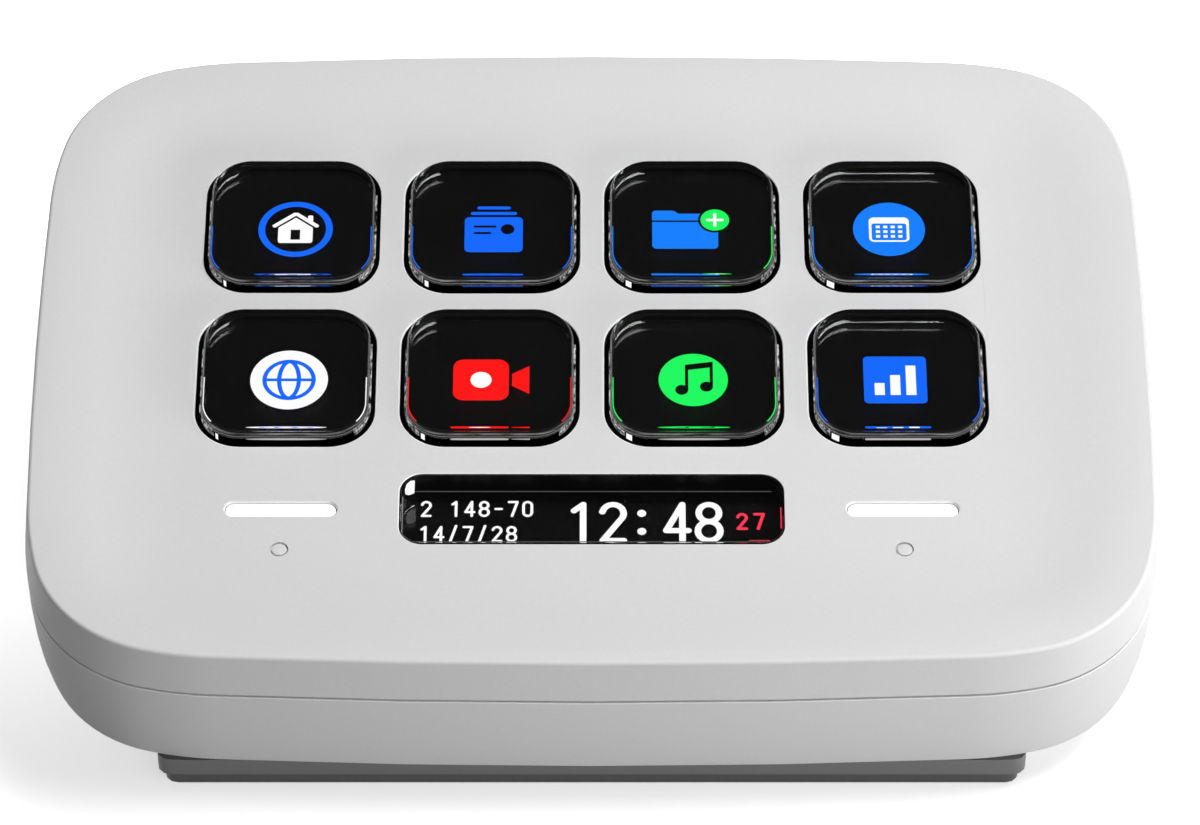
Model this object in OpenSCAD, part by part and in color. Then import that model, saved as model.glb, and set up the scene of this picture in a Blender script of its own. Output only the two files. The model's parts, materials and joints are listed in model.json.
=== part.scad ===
// Desk macro keypad with eight clear display keys, an information window,
// two light bars and two touch points, on a wedge plinth that tips its face to the front.
//
// Millimetres. +X is right, +Y is back, +Z is up. The origin is on the desk,
// under the middle of the keypad. Pieces of the body are laid out on the face plane:
// U across, V up the slope, W out of the face, with W = 0 on the flat around the keys.

/* [Body] */
// Width over the parting line, its widest place
body_w = 107; // [90:1:140]
// Length over the parting line, along the face
body_l = 78; // [76:1:110]
// Height of the housing's bottom front edge above the desk
foot_h = 3.93; // [3:0.01:8]
// Slope of the face
tilt = 4.2; // [3:0.1:8]
// Height of the cover from its rim to the parting line
cover_h = 5.05; // [4.6:0.05:7]
// Height of the lower housing from the parting line to its flat bottom
housing_h = 11.5; // [11.5:0.1:14]
// Thickness of the side walls
wall = 1.8; // [1.6:0.1:2.4]
// Thickness of the housing's floor
floor_t = 1.8; // [1.6:0.1:2.2]

/* [Outline] */
// Radius of the corners at the parting line
corner_r = 14.4; // [12:0.1:17]
// Radius of the softer arcs on each side of a corner
blend_r = 35.5; // [30:0.5:45]
// Angle that the long arc of a side turns through, from its middle
side_sweep = 1.74; // [1.4:0.01:2.2]
// Angle of the soft arc between a side and a corner
side_blend = 12.2; // [8:0.1:14]
// Angle that the long arc of the front or back turns through, from its middle
front_sweep = 2.63; // [2:0.01:3.2]
// Angle of the soft arc between the front and a corner
front_blend = 10.7; // [8:0.1:14]
// How far the rim's edge lies inside the parting line
rim_inset = 0.45; // [0.2:0.05:0.8]
// How far the housing's bottom edge lies inside the parting line
bottom_inset = 1.2; // [0.8:0.1:2]
// Power of the curve by which the housing's side runs in to its bottom edge
bottom_curve = 2.5; // [2:0.1:3.5]

/* [Dished face] */
// Width of the flat band of the rim
rim_band = 1.15; // [0.8:0.05:2]
// Radius of the rim's outer edge
rim_edge_r = 0.4; // [0.2:0.05:0.6]
// Depth of the dish below the rim
dish_depth = 0.9; // [0.6:0.05:1.2]
// Run of the straight slope inside the rim
dish_slope_run = 4.5; // [3:0.1:6]
// Run of the curve from the slope to the flat
dish_curve_run = 8.5; // [6:0.1:9]
// Thickness of the cover's face
face_t = 1.3; // [1.2:0.1:1.5]

/* [Parting line] */
// Depth of the shadow groove between cover and housing
groove_depth = 0.6; // [0.4:0.1:0.7]
// Height of the shadow groove
groove_h = 0.25; // [0.15:0.05:0.35]
// Height of the housing's tongue inside the cover
tongue_h = 1.5; // [1.2:0.1:1.8]
// Clearance between the tongue and the cover
tongue_gap = 0.1; // [0.05:0.05:0.2]

/* [Keys] */
// Width of a key cap
cap_w = 15.95; // [13:0.05:16.2]
// Width of the cover's bar between two wells
key_web = 2.33; // [2:0.01:3]
// Clearance from a cap to its well, all round
well_gap = 0.55; // [0.4:0.05:0.7]
// Corner radius of a cap
cap_corner_r = 3.85; // [3:0.05:4.5]
// Height of a cap over the flat of the face
cap_rise = 1.3; // [1:0.05:1.8]
// Size of the round edge of a cap's top
cap_edge = 0.45; // [0.3:0.05:0.8]
// Thickness of the clear cap, down to its display tile
cap_clear_t = 1.75; // [1.5:0.05:2]
// Thickness of the flange that holds a cap under the cover
flange_t = 0.6; // [0.5:0.05:0.8]
// Width of the flange outside its well
flange_reach = 0.6; // [0.4:0.05:0.7]
// Travel of a key
key_travel = 0.6; // [0.4:0.05:0.8]
// Height of a silicone dome that is pressed flat
dome_flat_h = 0.25; // [0.25:0.05:0.4]
// Place of the middle of the key rows, up the slope
keys_v = 6.5; // [5.5:0.1:7.5]

/* [Information window] */
// Width of the window
window_w = 36; // [34:0.1:38]
// Length of the window along the slope
window_l = 8.55; // [7.5:0.05:9]
// Corner radius of the window
window_corner_r = 2.2; // [1.5:0.1:3]
// Width of the cover between the key wells and the window
window_web = 3.36; // [2.8:0.02:3.6]
// Depth of the lens, down to the information display
lens_t = 3.7; // [3.3:0.1:3.9]

/* [Light bars and touch points] */
// Length of a light bar
bar_w = 10.5; // [8:0.1:12]
// Width of a light bar
bar_l = 1.8; // [1.4:0.1:2.2]
// Depth of a light bar's top below the face
bar_sink = 0.3; // [0.2:0.05:0.5]
// Distance from the window's end to the light bar beside it
bar_web = 5.81; // [5.5:0.01:8]
// Distance from a light bar's middle down to its touch point
touch_drop = 4.9; // [4.4:0.1:5.2]
// Diameter of a touch point
touch_d = 1.45; // [1.2:0.05:1.8]
// Width of the ring groove round a touch point
touch_ring = 0.15; // [0.1:0.05:0.25]

/* [Electronics] */
// Thickness of the main board
board_t = 1.6; // [1.2:0.2:1.6]
// Thickness of a touch board
touch_board_t = 1; // [0.8:0.1:1.2]
// Thickness of the key board
key_board_t = 1.4; // [1.2:0.1:1.6]
// Thickness of the steel plate under it
stiffener_t = 1.8; // [1.5:0.1:2]
// Thickness of the ballast plate
ballast_t = 2.5; // [1.5:0.1:2.5]

/* [Plinth] */
// How far the plinth's sides lie inside the body's
plinth_inset_u = 12.8; // [10:0.1:16]
// How far the plinth's front lies behind the housing's bottom front edge
plinth_front = 0.9; // [0.7:0.1:3]
// How far the plinth's back lies inside the housing's bottom back edge
plinth_back = 4; // [2:0.5:8]
// Corner radius of the plinth
plinth_corner_r = 4; // [3:0.5:8]
// Thickness of the plinth's walls
plinth_wall = 2; // [1.6:0.1:2.6]
// Thickness of the rubber sole
sole_t = 2; // [1.2:0.1:2.4]
// How far the sole lies inside the plinth
sole_inset = 0.6; // [0.3:0.1:1.2]

/* [Hidden] */
KEYS = 8;
COLUMNS = 4;

$fn = 48;
SHELL_FN = 32;   // hulls of the key caps
CUT = 1;         // overrun of a cut past the face that it opens
FIT = 0.05;      // clearance of a screw in its hole
SEAT = 0.05;     // clearance between pieces that rest on each other without glue

// Outline of the shells
half_w = body_w / 2;
half_l = body_l / 2;
SMALLEST_CORNER = 1;
arc_ends = [0, side_sweep, side_sweep + side_blend, 90 - front_sweep - front_blend, 90 - front_sweep, 90];
arc_steps = [2, 4, 12, 4, 2];
outline_angles = concat(
    [for (k = [0:4], s = [0:arc_steps[k] - 1])
        arc_ends[k] + (arc_ends[k + 1] - arc_ends[k]) * s / arc_steps[k]],
    [90]);
quarter_n = len(outline_angles) - 1;
ring_n = 4 * quarter_n;

// Heights on the face plane, from the top down
part_w = dish_depth - cover_h;
bottom_w = part_w - housing_h;
ceiling_w = -face_t;
floor_w = bottom_w + floor_t;
flange_top_w = ceiling_w - SEAT;
screen_top_w = cap_rise - cap_clear_t;
screen_bottom_w = flange_top_w - flange_t;
dome_top_w = screen_bottom_w - SEAT;
film_top_w = dome_top_w - key_travel - dome_flat_h;
film_t = 0.15;
key_board_top_w = film_top_w - film_t;
stiffener_top_w = key_board_top_w - key_board_t;
carrier_floor_w = stiffener_top_w - stiffener_t;
carrier_floor_t = 1;
carrier_bottom_w = carrier_floor_w - carrier_floor_t;
CABLE_SPACE = 1;
board_top_w = carrier_bottom_w - CABLE_SPACE;
board_bottom_w = board_top_w - board_t;

// Dished face and side walls, as profiles of [inset from the parting outline, height]
rim_top_inset = rim_inset + rim_edge_r;
band_inset = rim_top_inset + rim_band;
slope_inset = band_inset + dish_slope_run;
flat_inset = slope_inset + dish_curve_run;
dish_grade = dish_depth / (dish_slope_run + dish_curve_run / 2);
DISH_STEPS = 8;
EDGE_STEPS = 4;
WALL_STEPS = 8;
FLARE_STEPS = 3;
bottom_edge_r = 0.4;
rabbet_inset = wall * 2 / 3;   // the cover's lip outside the tongue
inner_inset = rim_inset + wall;
floor_inset = bottom_inset + wall;
tongue_inset = rabbet_inset + tongue_gap;

dish_profile = [for (i = [0:DISH_STEPS]) let (x = dish_curve_run * i / DISH_STEPS)
    [flat_inset - x, dish_grade * x * x / (2 * dish_curve_run)]];
rim_profile = [for (i = [0:EDGE_STEPS]) let (a = 90 * i / EDGE_STEPS)
    [rim_top_inset - rim_edge_r * sin(a), dish_depth - rim_edge_r * (1 - cos(a))]];
flare_profile = [for (i = [1:FLARE_STEPS]) let (t = i / FLARE_STEPS)
    [rim_inset * (1 - t), dish_depth - rim_edge_r - (cover_h - rim_edge_r) * t]];
cover_profile = concat(
    dish_profile, [[band_inset, dish_depth]], rim_profile, flare_profile,
    [[rabbet_inset, part_w], [rabbet_inset, part_w + tongue_h + SEAT],
     [inner_inset, part_w + tongue_h + SEAT], [inner_inset, ceiling_w]]);

function side_inset(t) = bottom_inset * pow(t, bottom_curve);
side_profile = [for (i = [0:WALL_STEPS]) let (t = i / WALL_STEPS, h = housing_h - groove_h - bottom_edge_r)
    [side_inset(t * (1 - bottom_edge_r / housing_h)), part_w - groove_h - h * t]];
edge_profile = [for (i = [1:EDGE_STEPS]) let (a = 90 * i / EDGE_STEPS)
    [bottom_inset + bottom_edge_r * (1 - cos(a)), bottom_w + bottom_edge_r * (1 - sin(a))]];
housing_profile = concat(
    [[floor_inset, floor_w], [inner_inset, (floor_w + part_w) / 2], [inner_inset, part_w + tongue_h],
     [tongue_inset, part_w + tongue_h], [tongue_inset, part_w], [groove_depth, part_w],
     [groove_depth, part_w - groove_h]],
    side_profile, edge_profile);

// Place of the face plane over the desk: its height from the plinth's front, its middle
// from the farthest points of the two shells
outer_profile = concat(rim_profile, flare_profile, side_profile, edge_profile);
face_z = foot_h + (half_l - bottom_inset) * sin(tilt) - bottom_w * cos(tilt);
body_h = face_z + max([for (p = outer_profile) (half_l - p[0]) * sin(tilt) + p[1] * cos(tilt)]);
back_reach = max([for (p = outer_profile) (half_l - p[0]) * cos(tilt) - p[1] * sin(tilt)]);
front_reach = max([for (p = outer_profile) (half_l - p[0]) * cos(tilt) + p[1] * sin(tilt)]);
face_y = (front_reach - back_reach) / 2;

// Keys, window and light bars
well_w = cap_w + 2 * well_gap;
key_pitch = well_w + key_web;
window_v = keys_v - key_pitch / 2 - well_w / 2 - window_web - window_l / 2;
bar_u = window_w / 2 + bar_web + bar_w / 2;
touch_v = window_v - touch_drop;
well_corner_r = cap_corner_r + well_gap;
flange_w = well_w + 2 * flange_reach;
flange_corner_r = well_corner_r + flange_reach;
THIN = 0.01;   // thickness of a slice that a hull is stretched over
SCREEN_POCKET = 0.15;
SCREEN_POCKET_EDGE = 0.5;
CONTACT_W = 6;
CONTACT_L = 1.6;
CONTACT_H = 0.45;
dome_ring_w = 1.7;
DOME_STEP = 0.3;
DOME_LEAN = 0.4;
function key_u(i) = (i % COLUMNS - (COLUMNS - 1) / 2) * key_pitch;
function key_v(i) = keys_v + (i < COLUMNS ? 0.5 : -0.5) * key_pitch;

// Key board, information display and their carrier
KEY_BOARD_MARGIN = 0.4;
key_board_w = COLUMNS * key_pitch;
key_board_l = 2 * key_pitch + KEY_BOARD_MARGIN;
WINDOW_GAP = 0.12;
LENS_FLANGE = 0.9;
LENS_FLANGE_T = 0.7;
LENS_TO_DISPLAY = 0.3;
info_top_w = -lens_t - LENS_TO_DISPLAY;
info_t = 1.5;
INFO_MARGIN_U = 1.5;
INFO_MARGIN_V = 1;
info_w = window_w + 2 * INFO_MARGIN_U;
info_l = window_l + 2 * INFO_MARGIN_V;
carrier_wall = 1.2;
POCKET_GAP = 0.15;
TOUCH_BOARD_MARGIN = 2.5;
touch_board_w = bar_w + 2 * TOUCH_BOARD_MARGIN;
carrier_w = max(key_board_w, 2 * bar_u + touch_board_w) + 2 * carrier_wall + 2 * POCKET_GAP;
carrier_back_v = keys_v + key_board_l / 2 + carrier_wall + POCKET_GAP;
CARRIER_FRONT_RIM = 1;
carrier_front_v = window_v - info_l / 2 - carrier_wall - POCKET_GAP - CARRIER_FRONT_RIM;
CARRIER_EAR_T = 1.6;
CARRIER_EAR_R = 3.2;
carrier_screw_u = 11;
carrier_screw_vs = [carrier_back_v + CARRIER_EAR_R / 2, carrier_front_v - CARRIER_EAR_R / 2 + 0.4];
CARRIER_SCREW_R = 1;
SCREW_HOLE_GAP = 0.15;   // clearance of a shank in a hole that it passes through
SCREW_HOLE_END = 0.4;    // depth of a blind hole past its screw's tip
RIBBON_W = 12;
RIBBON_T = 0.3;
RIBBON_SLOT_L = 14;
RIBBON_PLUG_L = 4;
PLUG_H = 0.8;
ribbon_slot_v = keys_v - 2.5;
ribbon_turn_v = ribbon_slot_v + 3;
ribbon_plug_v = ribbon_slot_v + RIBBON_SLOT_L / 2 + RIBBON_PLUG_L / 2;

// Light bars and touch boards
TOUCH_GROOVE = 0.3;
BAR_GAP = 0.1;
BAR_FLANGE = 1;
BAR_FLANGE_T = 0.6;
BAR_TO_LAMP = 0.2;
touch_board_front_v = carrier_front_v + carrier_wall;
touch_board_back_v = keys_v - key_board_l / 2 - carrier_wall - 2 * POCKET_GAP;
touch_board_l = touch_board_back_v - touch_board_front_v;
touch_board_v = (touch_board_back_v + touch_board_front_v) / 2;
touch_board_top_w = -3.9;
LAMP_H = 0.6;
LAMPS = 3;
LAMP_W = 1.6;
LAMP_L = 0.8;
bar_bottom_w = touch_board_top_w + LAMP_H + BAR_TO_LAMP;
touch_ribbon_v = touch_board_front_v + 2.4;
TOUCH_RIBBON_W = 6;
TOUCH_RIBBON_SLOT = 0.5;

// Main board, its posts and the ballast plate
BOARD_SIDE_GAP = 3.4;
BOARD_WALL_GAP = 1;
BOARD_CORNER_R = 6;
board_half_w = half_w - inner_inset - BOARD_SIDE_GAP;
board_back_v = half_l - inner_inset - BOARD_WALL_GAP;
board_front_v = carrier_front_v;
POST_R = 2.5;
POST_SCREW_R = 1;
POST_FROM_SIDE = 0.5;
POST_FROM_BACK = 12;
POST_FROM_FRONT = 4;
post_u = board_half_w - POST_R - POST_FROM_SIDE;
post_vs = [board_back_v - POST_FROM_BACK, board_front_v + POST_FROM_FRONT];
BALLAST_GAP = 0.6;
BALLAST_CORNER_R = 3;
BALLAST_LIFT = 0.2;
ballast_half_w = post_u - POST_R - BALLAST_GAP;
BALLAST_FROM_BACK = 13.75;
BALLAST_FROM_FRONT = 2;
ballast_back_v = board_back_v - BALLAST_FROM_BACK;
ballast_front_v = board_front_v + BALLAST_FROM_FRONT;
ballast_bottom_w = floor_w + BALLAST_LIFT;
BALLAST_SCREW_FROM_SIDE = 6;
ballast_screw_u = ballast_half_w - BALLAST_SCREW_FROM_SIDE;
BALLAST_RIB_W = 30;
BALLAST_RIB_T = 1.2;
BALLAST_RIB_H = 1.6;

// Parts under the board: [u, v, width, length, height]
chips = [[0, 4, 10, 10, 1.1], [-14, 6, 6, 5, 0.9], [13, 10, 3.2, 2.5, 0.9],
         [-6, -10, 4, 4, 0.9], [8, -9, 3, 3, 0.9], [22, -4, 5, 4, 0.9]];

// Screws that hold housing and cover together, in bosses that meet half-way
plinth_w = body_w - 2 * plinth_inset_u;
BOSS_FROM_SIDE = 6;
boss_u = plinth_w / 2 - BOSS_FROM_SIDE;
BOSS_FROM_BACK = 5.6;
BOSS_FROM_FRONT = 4.4;
boss_vs = [half_l - inner_inset - BOSS_FROM_BACK, BOSS_FROM_FRONT - half_l + inner_inset];
BOSS_R = 2.9;
BOSS_BASE_R = BOSS_R + 0.5;
BOSS_MEET_W = -9;
HEAD_R = 2.4;
HEAD_H = 1.5;
SMALL_HEAD_R = 1.9;
SHANK_R = 1.25;
HEAD_GAP = 0.2;
SLOT_SHARE = 0.42;   // radius of a screw head's drive over the head's
boss_seat_w = bottom_w + HEAD_H + 0.3;
screw_tip_w = ceiling_w - 1.6;
BOSS_HOLE_GAP = 0.6;

// Power and data socket in the back wall, hung under the board
SOCKET_W = 8.94;
SOCKET_H = 3.2;
SOCKET_L = 7.35;
SOCKET_WALL = 0.3;
SOCKET_END_T = 1;
SOCKET_SINK = 0.35;
SOCKET_SIDE_R = 1.55;
SOCKET_GAP = 0.25;
SOCKET_TONGUE_W = 6.6;
SOCKET_TONGUE_H = 0.7;
SOCKET_TONGUE_L = 5;
socket_w = board_bottom_w - SOCKET_H / 2;
socket_wall_v = half_l - side_inset((part_w - socket_w) / housing_h);
socket_mouth_v = socket_wall_v - SOCKET_SINK;

// Plinth and sole
bottom_front_y = face_y - (half_l - bottom_inset) * cos(tilt) - bottom_w * sin(tilt);
bottom_back_y = face_y + (half_l - bottom_inset) * cos(tilt) - bottom_w * sin(tilt);
plinth_front_y = bottom_front_y + plinth_front;
plinth_back_y = bottom_back_y - plinth_back;
plinth_l = plinth_back_y - plinth_front_y;
plinth_y = (plinth_back_y + plinth_front_y) / 2;
PLINTH_CELLS_U = 4;
PLINTH_CELLS_V = 3;
PLINTH_CELL_R = 2;
plinth_screw_u = 16;
PLINTH_SCREW_FROM_BACK = 5;
plinth_screw_v = half_l - bottom_inset - plinth_back - PLINTH_SCREW_FROM_BACK;
PLINTH_HEAD_R = 2.4;
PLINTH_HEAD_H = 1.6;
PLINTH_HEAD_GAP = 0.3;
PLINTH_BOSS_T = 1.8;
PLINTH_NUT_H = 2;
plinth_tip_w = floor_w + 1.2;
HOOK_W = 8;
HOOK_T = 1.4;
HOOK_REACH = 1.2;
HOOK_NOSE_T = 1;
HOOK_GAP = 0.2;
HOOK_FROM_FRONT = 3.4;
hook_v = HOOK_FROM_FRONT - half_l + floor_inset;
hook_u = 14;

COVER_COLOUR = "#DCDCDC";
HOUSING_COLOUR = "#D2D2D2";
PLINTH_COLOUR = "#D2D2D2";
SOLE_COLOUR = "#A6A6A4";
DISPLAY_COLOUR = "#0F0F0F";
BOARD_COLOUR = "#1F4D3A";
STEEL_COLOUR = "#B8BCC0";
CLEAR_COLOUR = [0.85, 0.9, 0.95, 0.4];
FLEX_COLOUR = "#B5701E";

// ---------------------------------------------------------------- helpers

// Radii of the five arcs of a quarter outline, the long ones solved so that it closes
function outline_radii(hw, hl, inset) =
    let (e = arc_ends,
         soft = blend_r - inset,
         tight = max(corner_r - inset, SMALLEST_CORNER),
         mids = [soft, tight, soft],
         mid_u = sum([for (k = [0:2]) mids[k] * (cos(e[k + 1]) - cos(e[k + 2]))]),
         mid_v = sum([for (k = [0:2]) mids[k] * (sin(e[k + 2]) - sin(e[k + 1]))]),
         need_u = hw - mid_u,
         need_v = hl - mid_v,
         side_du = 1 - cos(e[1]),
         side_dv = sin(e[1]),
         front_du = cos(e[4]),
         front_dv = 1 - sin(e[4]),
         det = side_du * front_dv - front_du * side_dv)
    [(need_u * front_dv - front_du * need_v) / det, soft, tight, soft,
     (side_du * need_v - side_dv * need_u) / det];

function sum(list) = len(list) == 0 ? 0 : list * [for (x = list) 1];

// Point of a quarter outline whose outward normal turns phi from +U
function outline_point(hw, radii, phi) =
    let (spans = [for (k = [0:4]) if (arc_ends[k] < phi) [radii[k], arc_ends[k], min(phi, arc_ends[k + 1])]])
    [hw - sum([for (s = spans) s[0] * (cos(s[1]) - cos(s[2]))]),
     sum([for (s = spans) s[0] * (sin(s[2]) - sin(s[1]))])];

// One closed ring of the outline, counter-clockwise, at an inset and a height
function outline_ring(inset, w) =
    let (hw = half_w - inset,
         radii = outline_radii(hw, half_l - inset, inset),
         q = [for (a = outline_angles) outline_point(hw, radii, a)],
         n = quarter_n)
    concat([for (i = [0:n - 1]) [q[i][0], q[i][1], w]],
           [for (i = [n:-1:1]) [-q[i][0], q[i][1], w]],
           [for (i = [0:n - 1]) [-q[i][0], -q[i][1], w]],
           [for (i = [n:-1:1]) [q[i][0], -q[i][1], w]]);

// Area inside the outline at an inset
module outline_area(inset) {
    polygon([for (p = outline_ring(inset, 0)) [p[0], p[1]]]);
}

// Closed solid through one ring for each [inset, height] of a profile
module loft(profile) {
    rings = len(profile);
    points = [for (p = profile) each outline_ring(p[0], p[1])];
    first_cap = [[for (j = [ring_n - 1:-1:0]) j]];
    last_cap = [[for (j = [0:ring_n - 1]) (rings - 1) * ring_n + j]];
    sides = [for (k = [0:rings - 2], j = [0:ring_n - 1])
        let (a = k * ring_n + j, b = k * ring_n + (j + 1) % ring_n)
        each [[a, b, b + ring_n], [a, b + ring_n, a + ring_n]]];
    polyhedron(points = points, faces = concat(first_cap, sides, last_cap), convexity = 10);
}

// Puts its children on the face plane
module on_face() {
    translate([0, face_y, face_z]) rotate([tilt, 0, 0]) children();
}

module rounded_rect(w, l, r) {
    square([w - 2 * r, l], center = true);
    if (l > 2 * r) square([w, l - 2 * r], center = true);
    for (x = [-1, 1], y = [-1, 1]) translate([x * (w / 2 - r), y * (l / 2 - r)]) circle(r);
}

// Upright prism with rounded corners, from one height to another
module slab(w, l, r, low, high) {
    translate([0, 0, low]) linear_extrude(high - low) rounded_rect(w, l, r);
}

module block(w, l, low, high) {
    translate([-w / 2, -l / 2, low]) cube([w, l, high - low]);
}

module post(r, low, high) {
    translate([0, 0, low]) cylinder(r = r, h = high - low);
}

// Children at both sides, +U and -U
module both_sides(u) {
    for (side = [-1, 1]) translate([side * u, 0, 0]) children();
}

// Children at the four places that a distance and two places up the slope give
module four_places(u, vs) {
    for (v = vs) translate([0, v, 0]) both_sides(u) children();
}

// Screw with its head at the seat, its shank going up
module screw_up(head_r, head_h, shank_r, seat, tip) {
    difference() {
        post(head_r, seat - head_h, seat);
        post(head_r * SLOT_SHARE, seat - head_h - CUT, seat - head_h / 2);
    }
    post(shank_r - FIT, seat, tip);
}

// Screw with its head on top of the seat, its shank going down
module screw_down(head_r, head_h, shank_r, seat, tip) {
    difference() {
        post(head_r, seat, seat + head_h);
        post(head_r * SLOT_SHARE, seat + head_h / 2, seat + head_h + CUT);
    }
    post(shank_r - FIT, tip, seat);
}

// ---------------------------------------------------------------- shells

module key_wells() {
    for (i = [0:KEYS - 1])
        translate([key_u(i), key_v(i), 0])
            slab(well_w, well_w, well_corner_r, ceiling_w - CUT, dish_depth + CUT);
}

module touch_point() {
    difference() {
        post(touch_d / 2 + touch_ring, -TOUCH_GROOVE, dish_depth);
        post(touch_d / 2, -TOUCH_GROOVE - CUT, dish_depth + CUT);
    }
}

module top_cover() {
    color(COVER_COLOUR) on_face() difference() {
        union() {
            loft(cover_profile);
            four_places(boss_u, boss_vs) post(BOSS_R, BOSS_MEET_W, ceiling_w + SEAT);
            for (v = carrier_screw_vs) translate([0, v, 0]) both_sides(carrier_screw_u)
                post(BOSS_R, key_board_top_w + SEAT, ceiling_w + SEAT);
        }
        key_wells();
        translate([0, window_v, 0])
            slab(window_w, window_l, window_corner_r, ceiling_w - CUT, dish_depth);
        translate([0, window_v, 0]) both_sides(bar_u)
            slab(bar_w, bar_l, bar_l / 2, ceiling_w - CUT, dish_depth);
        translate([0, touch_v, 0]) both_sides(bar_u) touch_point();
        four_places(boss_u, boss_vs) post(SHANK_R, BOSS_MEET_W - CUT, screw_tip_w + SCREW_HOLE_END);
        for (v = carrier_screw_vs) translate([0, v, 0]) both_sides(carrier_screw_u)
            post(CARRIER_SCREW_R, key_board_top_w - CUT, ceiling_w + SCREW_HOLE_END);
    }
}

module socket_cut() {
    translate([0, socket_wall_v + CUT, socket_w]) rotate([90, 0, 0])
        linear_extrude(wall + bottom_inset + 2 * CUT)
            rounded_rect(SOCKET_W + 2 * SOCKET_GAP, SOCKET_H + 2 * SOCKET_GAP, SOCKET_SIDE_R + SOCKET_GAP);
}

module lower_housing() {
    color(HOUSING_COLOUR) on_face() difference() {
        union() {
            loft(housing_profile);
            four_places(boss_u, boss_vs) post(BOSS_BASE_R, floor_w - SEAT, BOSS_MEET_W);
            four_places(post_u, post_vs) post(POST_R, floor_w - SEAT, board_bottom_w);
            translate([0, plinth_screw_v, 0]) both_sides(plinth_screw_u)
                post(POST_R, floor_w - SEAT, floor_w + PLINTH_NUT_H);
            for (v = [ballast_front_v - BALLAST_RIB_T, ballast_back_v + BALLAST_RIB_T])
                translate([0, v, 0])
                    block(BALLAST_RIB_W, BALLAST_RIB_T, floor_w - SEAT, floor_w + BALLAST_RIB_H);
            both_sides(ballast_screw_u) post(2 * POST_SCREW_R, floor_w - SEAT, ballast_bottom_w);
        }
        four_places(boss_u, boss_vs) {
            post(SHANK_R + SCREW_HOLE_GAP, bottom_w - CUT, BOSS_MEET_W + CUT);
            post(HEAD_R + HEAD_GAP, bottom_w - CUT, boss_seat_w);
        }
        four_places(post_u, post_vs) post(POST_SCREW_R, floor_w, board_bottom_w + CUT);
        translate([0, plinth_screw_v, 0]) both_sides(plinth_screw_u)
            post(SHANK_R, bottom_w - CUT, plinth_tip_w + SCREW_HOLE_GAP);
        both_sides(ballast_screw_u) post(POST_SCREW_R, floor_w - 1.2, floor_w + CUT);
        translate([0, hook_v, 0]) both_sides(hook_u)
            block(HOOK_W + 2 * HOOK_GAP, HOOK_T + 2 * HOOK_GAP, bottom_w - CUT, floor_w + CUT);
        socket_cut();
    }
}

// ---------------------------------------------------------------- keys

// Thin slice of a cap's round edge
module cap_slice(inset, top_w) {
    slab(cap_w - 2 * inset, cap_w - 2 * inset, cap_corner_r - inset, top_w - THIN, top_w);
}

// Clear block with a round top edge, bonded to its display tile
module key_cap(i) {
    color(CLEAR_COLOUR) on_face() translate([key_u(i), key_v(i), 0]) hull($fn = SHELL_FN) {
        slab(cap_w, cap_w, cap_corner_r, screen_top_w, cap_rise - cap_edge);
        for (a = [30, 60, 90]) cap_slice(cap_edge * (1 - cos(a)), cap_rise - cap_edge * (1 - sin(a)));
    }
}

// Display tile in a black frame, with the flange that holds the key under the cover
module key_screen(i) {
    pocket_w = cap_w - 2 * SCREEN_POCKET_EDGE;
    color(DISPLAY_COLOUR) on_face() translate([key_u(i), key_v(i), 0]) difference() {
        union() {
            slab(cap_w, cap_w, cap_corner_r, screen_bottom_w, screen_top_w);
            slab(flange_w, flange_w, flange_corner_r, screen_bottom_w, flange_top_w);
        }
        slab(pocket_w, pocket_w, cap_corner_r - SCREEN_POCKET_EDGE,
            screen_bottom_w - CUT, screen_bottom_w + SCREEN_POCKET);
    }
}

// Square ring of silicone: a foot on the film, a thin leaning web and a top ring
module key_dome(i) {
    inner_w = flange_w - 2 * dome_ring_w;
    color("#141414") on_face() translate([key_u(i), key_v(i), 0]) difference() {
        union() {
            slab(flange_w, flange_w, flange_corner_r, film_top_w, film_top_w + DOME_STEP);
            slab(flange_w - 2 * DOME_LEAN, flange_w - 2 * DOME_LEAN, flange_corner_r - DOME_LEAN,
                film_top_w, dome_top_w - DOME_STEP);
            slab(flange_w, flange_w, flange_corner_r, dome_top_w - DOME_STEP, dome_top_w);
        }
        slab(inner_w, inner_w, flange_corner_r - dome_ring_w, film_top_w - CUT, dome_top_w + CUT);
    }
}

module contact_film() {
    color("#202022") on_face() difference() {
        translate([0, keys_v, 0]) block(key_board_w, key_board_l, key_board_top_w, film_top_w);
        for (i = [0:KEYS - 1]) translate([key_u(i), key_v(i), 0])
            slab(flange_w - 2 * dome_ring_w, flange_w - 2 * dome_ring_w, flange_corner_r - dome_ring_w,
                key_board_top_w - CUT, film_top_w + CUT);
    }
}

// Low blocks of spring contacts, through which each display tile gets its picture
module key_contacts() {
    color("#2B2B2E") on_face() for (i = [0:KEYS - 1]) translate([key_u(i), key_v(i), 0])
        block(CONTACT_W, CONTACT_L, key_board_top_w, key_board_top_w + CONTACT_H);
}

module key_board() {
    color(BOARD_COLOUR) on_face() translate([0, keys_v, 0])
        block(key_board_w, key_board_l, stiffener_top_w, key_board_top_w);
}

// Steel plate that keeps the key board stiff, with a window for its cable
module stiffener_plate() {
    color("#9A9CA0") on_face() difference() {
        translate([0, keys_v, 0]) block(key_board_w, key_board_l, carrier_floor_w, stiffener_top_w);
        translate([0, ribbon_slot_v, 0])
            block(RIBBON_W + 1, RIBBON_SLOT_L, carrier_floor_w - CUT, stiffener_top_w + CUT);
    }
}

// ---------------------------------------------------------------- information display

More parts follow.
